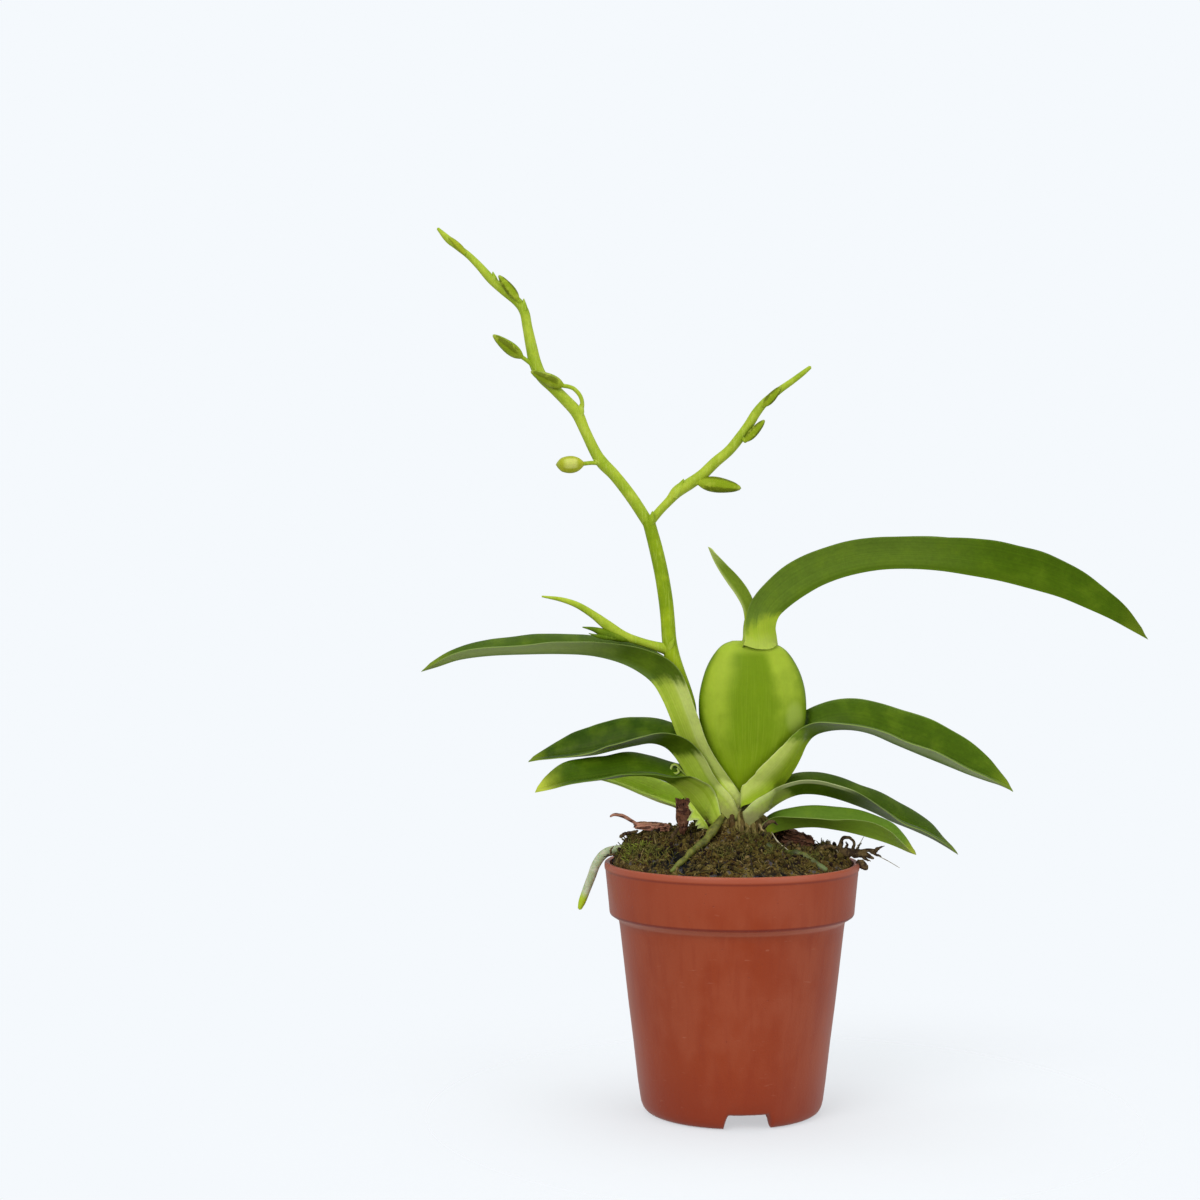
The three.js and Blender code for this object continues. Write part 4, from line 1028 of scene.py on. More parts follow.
mesh = bmesh.new()
oval(mesh, CROWN, 90, 60, crown_shape)
settle(mesh, "crown_scales", finish, ["rootstock"])
mesh = bmesh.new()
for i in range(SHORT_ROOTS):
    in_front = i < SHORT_ROOTS * SHORT_ROOTS_IN_FRONT
    turn = math.radians(random.uniform(-175, -5) if in_front else random.uniform(20, 160))
    side, deep = math.cos(turn), math.sin(turn)
    top = Vector((1.2 + 3.4 * side, 4.4 * deep, random.uniform(56.6, 58.8)))
    knee = Vector((1.2 + random.uniform(3.4, 6.4) * side, 6.4 * deep, random.uniform(54.0, 56.6)))
    foot = Vector((1.2 + random.uniform(4.2, 8.6) * side, 7.8 * deep, 50.2))
    radius = random.uniform(*SHORT_ROOT_RADIUS)
    rows = [(*top, radius), (*knee, radius * 1.05), (*foot, radius * 0.8)]
    tube(mesh, knobbly(rows, 60 + i), 8, 20, random.random())
settle(mesh, "roots_short_piece", root_finish, ["roots_short"])

# Long roots. Living orchid roots in their spongy skin: a pale one that hangs over the rim with a fresh
# green tip, an olive one that runs down the front at the left, and one that dips in at the right.
ROOT_HANGING = [
    (-17.6, -1.0, 50.2, 0.8),
    (-19.6, -1.0, 50.8, 0.8),
    (-22.6, -1.0, 51.0, 0.85),
    (-25.0, -1.0, 50.2, 0.9),
    (-26.6, -1.0, 48.2, 0.88),
    (-27.6, -1.0, 45.6, 0.85),
    (-28.6, -1.0, 43.0, 0.8),
    (-29.4, -1.0, 40.8, 0.72),
    (-29.9, -1.0, 39.4, 0.4),
]
ROOT_FRONT = [
    (-1.6, -3.4, 58.6, 0.5),
    (-3.0, -6.0, 56.8, 0.78),
    (-4.9, -8.7, 54.6, 0.8),
    (-6.8, -11.2, 53.0, 0.66),
    (-9.0, -14.2, 51.6, 0.6),
    (-11.0, -17.2, 50.2, 0.56),
    (-12.6, -19.2, 49.0, 0.45),
]
ROOT_RIGHT = [
    (6.4, -7.4, 52.6, 0.6),
    (8.8, -9.4, 51.5, 0.65),
    (11.6, -12.2, 51.5, 0.68),
    (14.2, -14.4, 50.6, 0.65),
    (16.8, -16.0, 48.8, 0.6),
]


def skin_finish(name, body, shade, tip, tip_start):
    """Root skin: mottled along its length, with a fresh tip past tip_start."""
    finish = Finish(name, {"Roughness": 0.6, "Subsurface Weight": 0.15, "Subsurface Scale": 0.0006})
    _, along, _ = finish.chart()
    spot = finish.place()
    patch = finish.noise(spot, 1.5, 4)
    fleck = finish.noise(spot, 0.35, 3)
    colour = finish.mix(finish.band(patch, 0.4, 0.65), body, shade)
    colour = finish.shade(colour, 0.65 + 0.7 * fleck)
    colour = finish.mix(finish.band(along, tip_start, tip_start + 0.12), colour, tip)
    finish.show({"Base Color": colour, "Normal": finish.bump(0.5 * patch + 0.5 * fleck, 0.1)})
    return finish


ROOT_PIECES = {
    "root_hanging": (ROOT_HANGING, (paint(172, 184, 142), paint(200, 204, 178), paint(178, 200, 40), 0.72)),
    "root_front": (ROOT_FRONT, (paint(118, 120, 54), paint(84, 88, 36), paint(104, 112, 50), 0.8)),
    "root_right": (ROOT_RIGHT, (paint(98, 104, 52), paint(68, 74, 36), paint(102, 116, 70), 0.8)),
}
for name, (rows, colours) in ROOT_PIECES.items():
    mesh = bmesh.new()
    tube(mesh, rows if name == "root_hanging" else knobbly(rows, 5), 20, 90)
    settle(mesh, name + "_piece", skin_finish(name + "_skin", *colours), [name])

# Pseudobulb. The swollen stem, flat like a plum stone, smooth and waxy. Its front has a darker middle panel
# between two soft ridges, painted light on the shoulders and top, painted shade at the far left and right,
# and fine lines that show most near the base.
BULB = [
    (60.1, 2.4, 1.2, 0.9),
    (61.6, 2.5, 2.6, 1.9),
    (64.0, 2.9, 4.4, 2.9),
    (66.5, 3.4, 6.1, 3.6),
    (69.5, 3.8, 8.0, 4.1),
    (73.0, 4.0, 9.7, 4.5),
    (77.0, 4.1, 10.5, 4.6),
    (81.0, 4.1, 10.5, 4.5),
    (84.5, 4.1, 9.8, 4.2),
    (87.5, 4.0, 8.6, 3.7),
    (90.0, 3.9, 6.9, 3.0),
    (91.3, 3.6, 5.2, 2.3),
    (92.0, 3.3, 3.2, 1.4),
]
# Where the ridges run, from the left edge at -1 to the right edge at 1, how broad and how high they are
RIDGES = (-0.32, 0.5)
RIDGE_BREADTH = 0.16
RIDGE_HEIGHT = 0.035


def bulb_shape(turn, v):
    """Swells the pseudobulb along its two ridges, front and back."""
    side = math.cos(turn)
    ridge = sum(math.exp(-(((side - place) / RIDGE_BREADTH) ** 2)) for place in RIDGES)
    return 1 + RIDGE_HEIGHT * ridge * abs(math.sin(turn)) * math.sin(math.pi * min(1, v * 1.1))


def living(seep, depth, gloss, red=0.6, blue=0.45):
    """What green tissue has in common: light seeps into it, and its gloss is tinted green."""
    return {
        "Subsurface Weight": seep,
        "Subsurface Scale": depth,
        "Subsurface Radius": (red, 1, 0.2),
        "Specular IOR Level": gloss,
        "Specular Tint": (0.95, 1, blue, 1),
    }


finish = Finish("waxy_bulb", living(0.12, 0.002, 0.25, blue=0.4))
spot = finish.place()
x, _, height = finish.split(spot)
turn, level, _ = finish.chart()
side = finish.maths("COSINE", turn * (2 * math.pi))
breadth = finish.maths("ABSOLUTE", side)
lengthwise = finish.node("ShaderNodeCombineXYZ", {}, {0: side * 12, 1: level * 2, 2: turn * 3})
lines = finish.noise(lengthwise, 0.14, 3, (1, 0.3, 1))
cloud = finish.noise(spot, 3.2, 4)
broad = finish.noise(spot, 6, 3)
fleck = finish.noise(spot, 0.6, 3)
edge = side + 0.3 * (broad - 0.5) + 0.14 * (cloud - 0.5)
# painted light: paler shoulders beside the middle panel, where the rounded front turns towards the light
shoulder_light = finish.band(edge, -0.3, -0.66) + finish.band(edge, 0.26, 0.52)
shoulder_light = shoulder_light * finish.band(level + 0.3 * (cloud - 0.5) - 0.12 * side, 0.26, 0.74)
shoulder_light = shoulder_light * finish.band(breadth, 1.0, 0.86)
# painted light: a paler band along the top, under the neck's collar
crest_light = finish.band(level, 0.77, 0.84)
lined = (0.08 + 0.2 * finish.band(level, 0.8, 0.3)) * finish.band(lines, 0.5, 0.62)
colour = finish.coat(
    paint(115, 143, 26),
    (0.9 * shoulder_light, (166, 188, 66)),
    (0.8 * crest_light, (164, 188, 66)),
    (0.85 * finish.band(level, 0.5, 0.12), (140, 166, 44)),
    (lined, (156, 178, 66)),
)
colour = finish.shade(colour, 0.93 + 0.22 * (cloud - 0.5) + 0.12 * fleck)
# painted shade: darker at the far left and right, where the body turns away
colour = finish.mix(0.5 * finish.band(breadth, 0.95, 1.0), colour, paint(88, 118, 28))
gleam = ((x - (AXIS * 1000 + 12.2)) / 2.0) ** 2 + ((height - 77) / 3.4) ** 2
colour = finish.mix(0.4 * finish.band(gleam, 1.3, 0.1), colour, paint(184, 202, 104))
finish.show(
    {
        "Base Color": colour,
        "Roughness": 0.4 + 0.14 * cloud,
        "Normal": finish.bump(0.4 * lines + 0.4 * cloud + 0.2 * fleck, 0.06),
    }
)
mesh = bmesh.new()
oval(mesh, BULB, 120, 140, bulb_shape)
settle(mesh, "pseudobulb_piece", finish, ["pseudobulb"])

# Leaves at the left. Leathery strap leaves folded along the keel. Each ends below in a pale green sheath
# that clasps the pseudobulb, and the dark blade joints on to it. A dry shred curls off the third one.
# Rows: the keel's x, y and z, the half width, and how steeply the near and the far half rise, in degrees.
LEAF_LEFT_1 = [
    (0.6, 0, 58.2, 4.0, 48, 48),
    (-2.2, 0, 60.8, 5.2, 48, 48),
    (-4.4, 0, 63.2, 5.9, 46, 46),
    (-7.4, 0, 67.3, 6.1, 46, 46),
    (-9.9, 0, 71.4, 6.6, 46, 46),
    (-11.9, 0, 76.3, 6.6, 50, 50),
    (-13.6, 0, 80.3, 6.5, 58, 58),
    (-15.7, 0, 83.7, 6.6, 58, 58),
    (-19.0, 0, 86.2, 6.0, 52, 58),
    (-22.9, 0.3, 87.9, 5.1, 42, 58),
    (-27.9, 0.7, 89.0, 5.2, 31, 52),
    (-33.8, 1.3, 89.3, 5.2, 27, 50),
    (-40.7, 2.0, 89.2, 5.0, 22, 49),
    (-47.7, 2.6, 88.9, 4.5, 22, 45),
    (-53.7, 3.2, 88.1, 3.4, 23, 45),
    (-58.1, 3.6, 86.7, 2.2, 20, 44),
    (-61.5, 4.0, 85.7, 0.5, 5, 30),
]
LEAF_LEFT_2 = [
    (0.0, 0, 55.8, 3.4, 54, 54),
    (-2.6, 0, 57.9, 5.2, 54, 54),
    (-5.6, 0, 60.8, 5.6, 54, 54),
    (-8.0, 0, 64.0, 5.9, 54, 54),
    (-9.8, 0, 67.0, 6.0, 52, 52),
    (-11.6, 0, 69.6, 6.0, 45, 54),
    (-13.4, 0.2, 71.1, 6.0, 30, 55),
    (-15.9, 0.6, 71.7, 6.0, 18, 58),
    (-19.0, 1.0, 71.2, 6.3, 16, 63),
    (-22.9, 1.6, 70.3, 6.5, 13, 65),
    (-26.9, 2.2, 69.3, 6.4, 8, 65),
    (-31.3, 2.8, 68.8, 5.4, 5, 62),
    (-34.8, 3.4, 68.5, 3.7, 5, 58),
    (-37.8, 3.8, 68.2, 1.9, 5, 50),
    (-40.2, 4.0, 67.8, 0.5, 5, 30),
]
LEAF_LEFT_3 = [
    (-2.6, -0.4, 54.2, 2.2, 55, 55),
    (-4.5, -0.4, 55.9, 3.9, 55, 55),
    (-6.8, -0.5, 58.2, 6.0, 56, 56),
    (-8.8, -0.5, 60.6, 6.6, 54, 54),
    (-10.7, -0.7, 62.8, 6.2, 40, 52),
    (-13.0, -1.0, 64.3, 5.5, 18, 46),
    (-16.1, -1.5, 65.3, 5.6, 9, 47),
    (-20.0, -2.2, 65.5, 5.8, 8, 53),
    (-23.9, -3.0, 65.0, 5.4, 11, 55),
    (-27.8, -4.0, 64.6, 5.4, 8, 54),
    (-31.7, -5.0, 64.2, 5.0, 5, 58),
    (-35.0, -5.8, 63.4, 3.4, 5, 56),
    (-36.9, -6.3, 63.0, 2.0, 5, 50),
    (-38.5, -6.6, 62.7, 0.5, 5, 30),
]
LEAF_LEFT_4 = [
    (-5.8, 4.3, 55.2, 2.4, 20, 50),
    (-8.1, 4.6, 57.0, 3.4, 14, 52),
    (-11.0, 5.0, 58.6, 4.4, 10, 54),
    (-14.4, 5.6, 59.7, 5.0, 9, 54),
    (-17.9, 6.2, 61.1, 5.0, 8, 54),
    (-21.5, 6.8, 62.6, 4.6, 6, 52),
    (-24.7, 7.4, 63.6, 3.6, 5, 48),
    (-27.1, 7.8, 64.1, 2.0, 5, 40),
    (-29.1, 8.0, 64.4, 0.5, 5, 30),
]
# A blade's thickness in millimetres, how far each half bows, and the steepest mitre at the keel
BLADE = 0.62
BOW = math.radians(22)
STEEP = math.radians(66)
# How far a sheath stays off what it lies over, and what the core is taken to be larger by
REST_GAP = 0.25
LEAF_AROUND = 40
LEAF_ALONG = 130
CORE_SPARE = 0.6
DEPTH_SPARE = 0.2
CUP_BOW = math.radians(-70)
WAVE = 0.12
WAVE_TURN = 2.5
RIM_THINNING = 0.45
HEM_SHARE = 0.06
# The stack of sheath feet that the sheaths further out lie on: height, middle, half width and half depth
CLASP = [
    (54.4, 0.6, 4.2, 2.6),
    (56.5, 0.8, 4.8, 3.2),
    (59.0, 1.2, 5.4, 3.4),
    (62.0, 2.0, 5.6, 3.3),
    (66.0, 3.0, 5.0, 3.0),
]


def core_depth(x, z):
    """Half depth of the pseudobulb or the rootstock at a point of the plant's middle plane."""
    depth = 0
    for rows in (BULB, ROOTSTOCK, CLASP):
        for low, high in zip(rows, rows[1:]):
            if low[0] <= z <= high[0]:
                s = (z - low[0]) / (high[0] - low[0])
                _, middle, width, half = [a + (b - a) * s for a, b in zip(low, high)]
                inside = 1 - ((x - middle) / (width + CORE_SPARE)) ** 2
                depth = max(depth, (half + DEPTH_SPARE) * math.sqrt(max(0, inside)))
    return depth


def leaf(name, rows, turn, lift, finish, ragged=0, cup=0, hem=lambda out: 0):
    """A folded leaf. Where it passes the pseudobulb it lies over it, lift further out for the sheaths
    beneath. Its foot is ragged, or cupped round over so much of its length, and its hem may stand higher
    in places."""

    @functools.cache
    def station(v):
        x, y, z, width, near, far = smooth(rows, v)
        along = heading(rows, v)
        across = (Vector((0, 1, 0)) - along * along.y).normalized()
        closed = min(1, (v / 0.012) ** 0.5, ((1 - v) / 0.035) ** 0.6)
        flat = min(1, v / cup) if cup else 1
        bow = CUP_BOW + (BOW - CUP_BOW) * flat**2 * (3 - 2 * flat)
        return Vector((x, y, z)), across, along.cross(across) * turn, width * closed, near, far, closed, bow

    def place(u, v):
        keel, across, up, width, near, far, closed, bow = station(v)
        out = math.sin(abs((2 * u) % 1 - 0.5) * math.pi)
        side, angle = (-1, near) if abs(u - 0.5) > 0.25 else (1, far)
        wave = noise.noise(Vector((keel.x / 6, keel.z / 6, 3 * side + rows[0][2])))
        width *= 1 + ragged * noise.fractal(Vector((keel.x, keel.z, side)) * 1.4, 0.8, 2, 3)
        first = math.radians(angle + WAVE_TURN * wave) + bow / 2
        rise = first - bow * out
        level = width * (math.sin(first) - math.sin(rise)) / bow
        height = width * (math.cos(rise) - math.cos(first)) / bow + WAVE * wave * out
        thickness = closed * BLADE * (1 - RIM_THINNING * out) * math.sqrt(max(0, 1 - out**10))
        inner = u > 0.5
        if inner:
            level -= thickness * math.sin(rise)
            height += thickness * math.cos(rise)
            if level < 0:
                level = 0
                height = closed * BLADE / math.cos(min(math.radians((near + far) / 2), STEEP))
        spot = keel + across * (side * level) + up * height
        spot.z += hem(out) * closed * max(0, 1 - v / HEM_SHARE)
        clear = core_depth(spot.x, spot.z)
        if clear > 0:
            clear += REST_GAP + lift + (0 if inner else thickness)
            spot.y = side * max(side * spot.y, clear)
        return spot

    mesh = bmesh.new()
    sweep(mesh, LEAF_AROUND, LEAF_ALONG, place)
    settle(mesh, name + "_blade", finish, [name], crease=62)


MARGIN_GREEN = paint(176, 190, 118)


def leaf_finish(
    name,
    upper,
    under,
    sheath,
    joint,
    tip=(paint(120, 140, 50), 0.86),
    keel=paint(112, 134, 74),
    margin=MARGIN_GREEN,
    membrane=0.6,
    softness=0.08,
    rim=1,
    slant=0.05,
    wrinkled=2,
    sheen_and_tone=None,
    foot=(paint(128, 124, 78), 59.2),
    fold_to=-1,
):
    """Blade and sheath of a leaf: the colours of its upper and under face and of its sheath, which ends at
    joint along the leaf, on a slant. The tip, the worn foot and a further colour of the under face each
    have a colour and where it starts; that further colour is a painted sheen on some leaves and a darker
    tone on others. The sheath's thin margin starts at membrane across it and has a softness, the rim may
    be fainter, and wrinkles or a pale fold may cross or line the blade."""
    tip, tip_from = tip
    foot, foot_to = foot
    sheen_and_tone, sheen_and_tone_from = sheen_and_tone or (under, 2)
    finish = Finish(name, living(0.06, 0.001, 0.11, red=0.5, blue=0.5))
    spot = finish.place()
    _, _, height = finish.split(spot)
    turn, along, _ = finish.chart()
    folded = finish.maths("FRACT", turn * 2)
    middle = finish.maths("ABSOLUTE", folded - 0.5)
    out = finish.maths("SINE", middle * math.pi)
    inner = finish.band(turn, 0.49, 0.51)
    ribbed = finish.node("ShaderNodeCombineXYZ", {}, {0: out * 9, 1: along * 7, 2: turn * 2})
    ribs = finish.noise(ribbed, 0.3, 3, (1, 0.1, 1))
    cloud = finish.noise(spot, 4.5, 4)
    fleck = finish.noise(spot, 0.7, 4)
    ripple = finish.noise(spot, 1.1, 2, (1.4, 0.25, 0.35))
    streak = finish.noise(ribbed, 0.7, 3, (1, 0.06, 1))

    drifting = along + 0.1 * (cloud - 0.5)
    # Past where it starts, the under face takes its further colour: a painted sheen on leaf_left_1 and
    # leaf_right_1, a darker tone on the long top leaf
    outside = finish.mix(finish.band(drifting, sheen_and_tone_from, sheen_and_tone_from + 0.2), under, sheen_and_tone)
    blade = finish.mix(inner, outside, upper)
    blade = finish.mix(0.3 * finish.band(cloud, 0.45, 0.7), blade, paint(108, 130, 48))
    blade = finish.shade(blade, 1 + 0.5 * (cloud - 0.5) + 0.45 * (ribs - 0.5) + 0.35 * (fleck - 0.5))
    beside_keel = finish.band(out + 0.2 * (streak - 0.5), 0.3, 0.06)
    blade = finish.mix(0.65 * beside_keel, blade, keel)
    blade = finish.mix(0.6 * rim * finish.band(out, 0.955, 0.985), blade, paint(150, 168, 96))
    near_half = finish.maths("ABSOLUTE", turn - 0.5)
    fold = finish.band(out, 0.66, 0.78) * finish.band(near_half, 0.24, 0.26)
    fold = fold * finish.band(along + 0.05 * (cloud - 0.5), fold_to, fold_to - 0.08)
    blade = finish.mix(0.9 * fold, blade, paint(212, 220, 160))
    blade = finish.mix(finish.band(drifting, tip_from, 0.99), blade, tip)

    pale = finish.band(out + 0.12 * (streak - 0.5), membrane - softness, membrane + softness)
    clasp = finish.mix(0.6 * finish.band(streak, 0.35, 0.65), sheath, paint(150, 176, 56))
    clasp = finish.mix(0.85 * pale, clasp, margin)
    clasp = finish.mix(0.6 * rim * finish.band(out, 0.96, 0.99), clasp, paint(206, 214, 150))
    worn = finish.band(height + 3 * (cloud - 0.5) + 2 * (fleck - 0.5), foot_to + 1.8, foot_to - 1.8)
    clasp = finish.mix(0.85 * worn, clasp, foot)
    clasp = finish.shade(clasp, 1 + 0.3 * (cloud - 0.5) + 0.25 * (ribs - 0.5) + 0.25 * (fleck - 0.5))

    reach = along + 0.06 * (cloud - 0.5) + 0.03 * (fleck - 0.5) + 0.03 * (streak - 0.5) + slant * out
    change = finish.band(reach, joint - 0.022, joint + 0.022)
    crossing = finish.band(along, wrinkled, wrinkled + 0.06)
    crossing = crossing * finish.band(along, wrinkled + 0.2, wrinkled + 0.1)
    finish.show(
        {
            "Base Color": finish.mix(change, clasp, blade),
            "Roughness": 0.5 - 0.1 * change + 0.16 * (fleck - 0.5),
            "Normal": finish.bump(0.45 * ribs + 0.3 * fleck + 0.2 * cloud + 0.9 * crossing * ripple, 0.1),
        }
    )
    return finish


SHEATH_GREEN = paint(162, 184, 66)
LEFT_LEAVES = {
    "leaf_left_1": (
        LEAF_LEFT_1,
        0,
        leaf_finish(
            "leaf_left_1_skin",
            paint(76, 100, 42),
            paint(88, 110, 46),
            paint(180, 200, 82),
            0.432,
            membrane=0.56,
            slant=0.046,
            margin=paint(200, 214, 122),
            foot=(paint(146, 148, 92), 61.6),
            # painted sheen: the pale grey-green band on the under face further out
            sheen_and_tone=(paint(146, 166, 92), 0.52),
        ),
    ),
    "leaf_left_2": (
        LEAF_LEFT_2,
        0.8,
        leaf_finish(
            "leaf_left_2_skin",
            paint(62, 84, 34),
            paint(84, 104, 44),
            paint(172, 194, 78),
            0.345,
            membrane=0.7,
            keel=paint(86, 108, 44),
            margin=paint(188, 200, 116),
            foot=(paint(144, 146, 88), 60.8),
        ),
    ),
    "leaf_left_3": (
        LEAF_LEFT_3,
        1.5,
        leaf_finish(
            "leaf_left_3_skin",
            paint(74, 98, 34),
            paint(86, 110, 38),
            paint(172, 194, 78),
            0.35,
            membrane=0.94,
            tip=(paint(188, 200, 76), 0.76),
            wrinkled=0.45,
            keel=paint(90, 114, 44),
            rim=0.4,
            foot=(paint(140, 142, 72), 57.2),
        ),
    ),
    "leaf_left_4": (
        LEAF_LEFT_4,
        0.8,
        leaf_finish(
            "leaf_left_4_skin",
            # painted light: these greens are much paler than the leaf's own, to make up for the shade that
            # the leaf above throws on it
            paint(200, 232, 84),
            paint(208, 236, 88),
            SHEATH_GREEN,
            0.12,
            keel=paint(226, 240, 130),
        ),
    ),
}
for name, (rows, lift, finish) in LEFT_LEAVES.items():
    leaf(name, rows, -1, lift, finish)

CURL = [
    (-8.8, 0.9, 65.4, 0.12),
    (-10.0, 0.8, 66.6, 0.22),
    (-10.9, 0.8, 67.5, 0.26),
    (-11.7, 0.9, 67.3, 0.26),
    (-11.9, 0.7, 66.3, 0.25),
    (-11.1, 0.3, 65.8, 0.24),
    (-10.4, 0.5, 66.2, 0.22),
    (-10.7, 0.8, 66.8, 0.14),
]
mesh = bmesh.new()
tube(mesh, CURL, 10, 60)
curl_finish = leaf_finish("curl_skin", paint(158, 182, 70), paint(158, 182, 70), paint(176, 196, 84), 2)
settle(mesh, "leaf_left_3_curl", curl_finish, ["leaf_left_3"])

# Leaves at the right. The same kind of leaf: the largest has a broad sheath across the pseudobulb's foot,
# the middle one has a pale folded edge, and the lowest, which comes out of the compost, is going yellow.
LEAF_RIGHT_1 = [
    (1.4, 0, 59.6, 5.0, 56, 56),
    (4.3, 0, 60.0, 6.3, 56, 56),
    (7.6, 0, 61.3, 7.4, 56, 56),
    (10.4, 0, 63.8, 7.8, 54, 54),
    (12.3, 0, 66.4, 7.2, 54, 54),
    (13.7, 0, 69.0, 6.5, 52, 54),
    (14.9, 0, 71.6, 5.9, 45, 56),
    (16.6, -0.2, 73.4, 6.0, 32, 60),
    (19.7, -0.6, 74.3, 6.7, 19, 61),
    (23.6, -1.1, 74.4, 6.9, 12, 66),
    (27.4, -1.7, 73.6, 7.1, 9, 66),
    (31.8, -2.4, 71.7, 7.5, 11, 68),
    (36.6, -3.2, 69.7, 7.8, 11, 70),
    (41.3, -4.0, 67.8, 7.4, 11, 68),
    (45.5, -4.8, 66.1, 6.3, 10, 66),
    (48.9, -5.5, 64.9, 4.6, 10, 62),
    (51.7, -6.1, 64.0, 2.4, 8, 52),
    (54.1, -6.6, 62.9, 0.5, 5, 30),
]
LEAF_RIGHT_2 = [
    (2.8, 0, 55.6, 4.2, 52, 52),
    (5.2, 0, 56.9, 5.0, 52, 52),
    (7.2, 0, 58.4, 5.2, 50, 50),
    (9.4, 0, 60.0, 5.0, 44, 50),
    (11.6, 0.2, 61.1, 5.0, 40, 52),
    (14.1, 0.5, 61.7, 5.2, 37, 54),
    (17.5, 1.0, 61.5, 5.4, 33, 50),
    (21.1, 1.6, 60.6, 5.6, 30, 46),
    (24.8, 2.2, 59.3, 5.8, 23, 42),
    (28.4, 2.8, 57.8, 6.0, 13, 45),
    (32.2, 3.4, 55.9, 6.0, 8, 43),
    (36.1, 4.0, 54.3, 5.6, 8, 40),
    (39.8, 4.5, 52.6, 4.4, 6, 38),
    (42.8, 5.0, 50.9, 2.4, 5, 25),
    (45.5, 5.4, 49.2, 0.5, 5, 20),
]
LEAF_RIGHT_3 = [
    (6.1, -1.5, 53.5, 3.0, 45, 45),
    (8.8, -2.0, 54.6, 4.2, 50, 58),
    (12.2, -2.6, 55.3, 4.6, 37, 58),
    (16.1, -3.4, 55.6, 4.8, 29, 61),
    (19.9, -4.2, 55.2, 5.0, 28, 62),
    (23.3, -5.0, 54.6, 5.2, 33, 63),
    (26.5, -5.8, 53.8, 5.2, 38, 58),
    (29.3, -6.6, 53.0, 4.6, 36, 60),
    (31.5, -7.2, 52.2, 3.6, 28, 50),
    (33.6, -7.8, 51.3, 1.9, 20, 43),
    (35.1, -8.2, 50.8, 0.5, 5, 20),
]
RIGHT_LEAVES = {
    "leaf_right_1": (
        LEAF_RIGHT_1,
        1.5,
        leaf_finish(
            "leaf_right_1_skin",
            paint(78, 102, 42),
            paint(102, 126, 50),
            paint(148, 172, 54),
            0.38,
            membrane=0.5,
            softness=0.22,
            margin=paint(182, 196, 104),
            keel=paint(86, 110, 44),
            # painted sheen: the pale grey-green band on the shaded near face further out
            sheen_and_tone=(paint(152, 172, 108), 0.44),
        ),
    ),
    "leaf_right_2": (
        LEAF_RIGHT_2,
        2.2,
        leaf_finish(
            "leaf_right_2_skin",
            paint(74, 96, 42),
            paint(82, 106, 42),
            paint(150, 164, 84),
            0.3,
            membrane=0.7,
            softness=0.2,
            fold_to=0.56,
            keel=paint(84, 108, 44),
            foot=(paint(138, 136, 96), 59.4),
        ),
    ),
    "leaf_right_3": (
        LEAF_RIGHT_3,
        0.8,
        leaf_finish(
            "leaf_right_3_skin",
            paint(102, 132, 56),
            paint(124, 154, 60),
            SHEATH_GREEN,
            0.1,
            tip=(paint(162, 174, 62), 0.8),
            keel=paint(134, 162, 66),
            foot=(paint(128, 124, 78), 50),
        ),
    ),
}
BLUNT_FOOT = {"leaf_right_1": 0.7, "leaf_right_2": 0.6, "leaf_right_3": 0.4}
for name, (rows, lift, finish) in RIGHT_LEAVES.items():
    leaf(name, rows, 1, lift, finish, hem=lambda out: -BLUNT_FOOT[name] * math.sin(math.pi * out))

# Leaves at the top. The long one arches far to the right from a pale neck that is cupped round the
# pseudobulb's top, with a collar at its foot, and a small young one stands close against it at the left.
LEAF_APEX_LONG = [
    (9.1, 0, 91.3, 8.7, 60, 60),
    (8.9, 0, 92.8, 7.7, 62, 62),
    (8.7, 0, 94.7, 6.9, 68, 62),
    (9.4, 0, 96.8, 7.0, 70, 60),
    (11.5, 0, 98.8, 7.2, 72, 60),
    (14.6, 0, 101.0, 7.4, 74, 62),
    (18.4, 0, 103.1, 7.3, 72, 64),
    (23.3, 0, 104.8, 7.2, 70, 68),
    (29.2, 0, 105.9, 7.0, 68, 70),
    (35.0, -0.5, 106.1, 6.9, 66, 72),
    (40.9, -1.0, 105.7, 7.1, 68, 74),
    (46.6, -1.6, 104.8, 7.7, 70, 74),
    (52.4, -2.2, 103.7, 8.0, 70, 74),
    (58.1, -3.0, 102.2, 7.9, 70, 74),
    (63.8, -3.8, 100.5, 7.0, 68, 70),
    (68.5, -4.6, 98.5, 5.8, 66, 66),
    (73.2, -5.4, 96.3, 4.3, 60, 60),
    (77.3, -6.0, 94.0, 2.4, 50, 50),
    (80.3, -6.5, 92.3, 0.5, 30, 30),
]
LEAF_APEX_SMALL = [
    (1.9, 0, 90.8, 3.4, 45, 45),
    (2.4, 0, 94.2, 3.0, 46, 46),
    (2.5, 0, 96.6, 2.7, 50, 50),
    (2.0, 0, 98.8, 3.0, 50, 52),
    (0.8, 0.2, 101.0, 3.2, 50, 54),
    (-0.8, 0.5, 103.3, 3.0, 50, 54),
    (-2.3, 0.8, 105.6, 2.4, 48, 50),
    (-3.6, 1.1, 108.0, 1.6, 44, 46),
    (-4.6, 1.4, 110.5, 0.45, 20, 20),
]
NECK_GREEN = paint(156, 176, 62)
APEX_LONG_SKIN = leaf_finish(
    "leaf_apex_long_skin",
    paint(92, 116, 48),
    paint(102, 126, 54),
    NECK_GREEN,
    0.178,
    membrane=2,
    slant=0.08,
    rim=0.35,
    sheen_and_tone=(paint(84, 110, 42), 0.48),
    wrinkled=0.24,
    keel=paint(84, 106, 34),
    foot=(paint(174, 192, 88), 92.6),
)
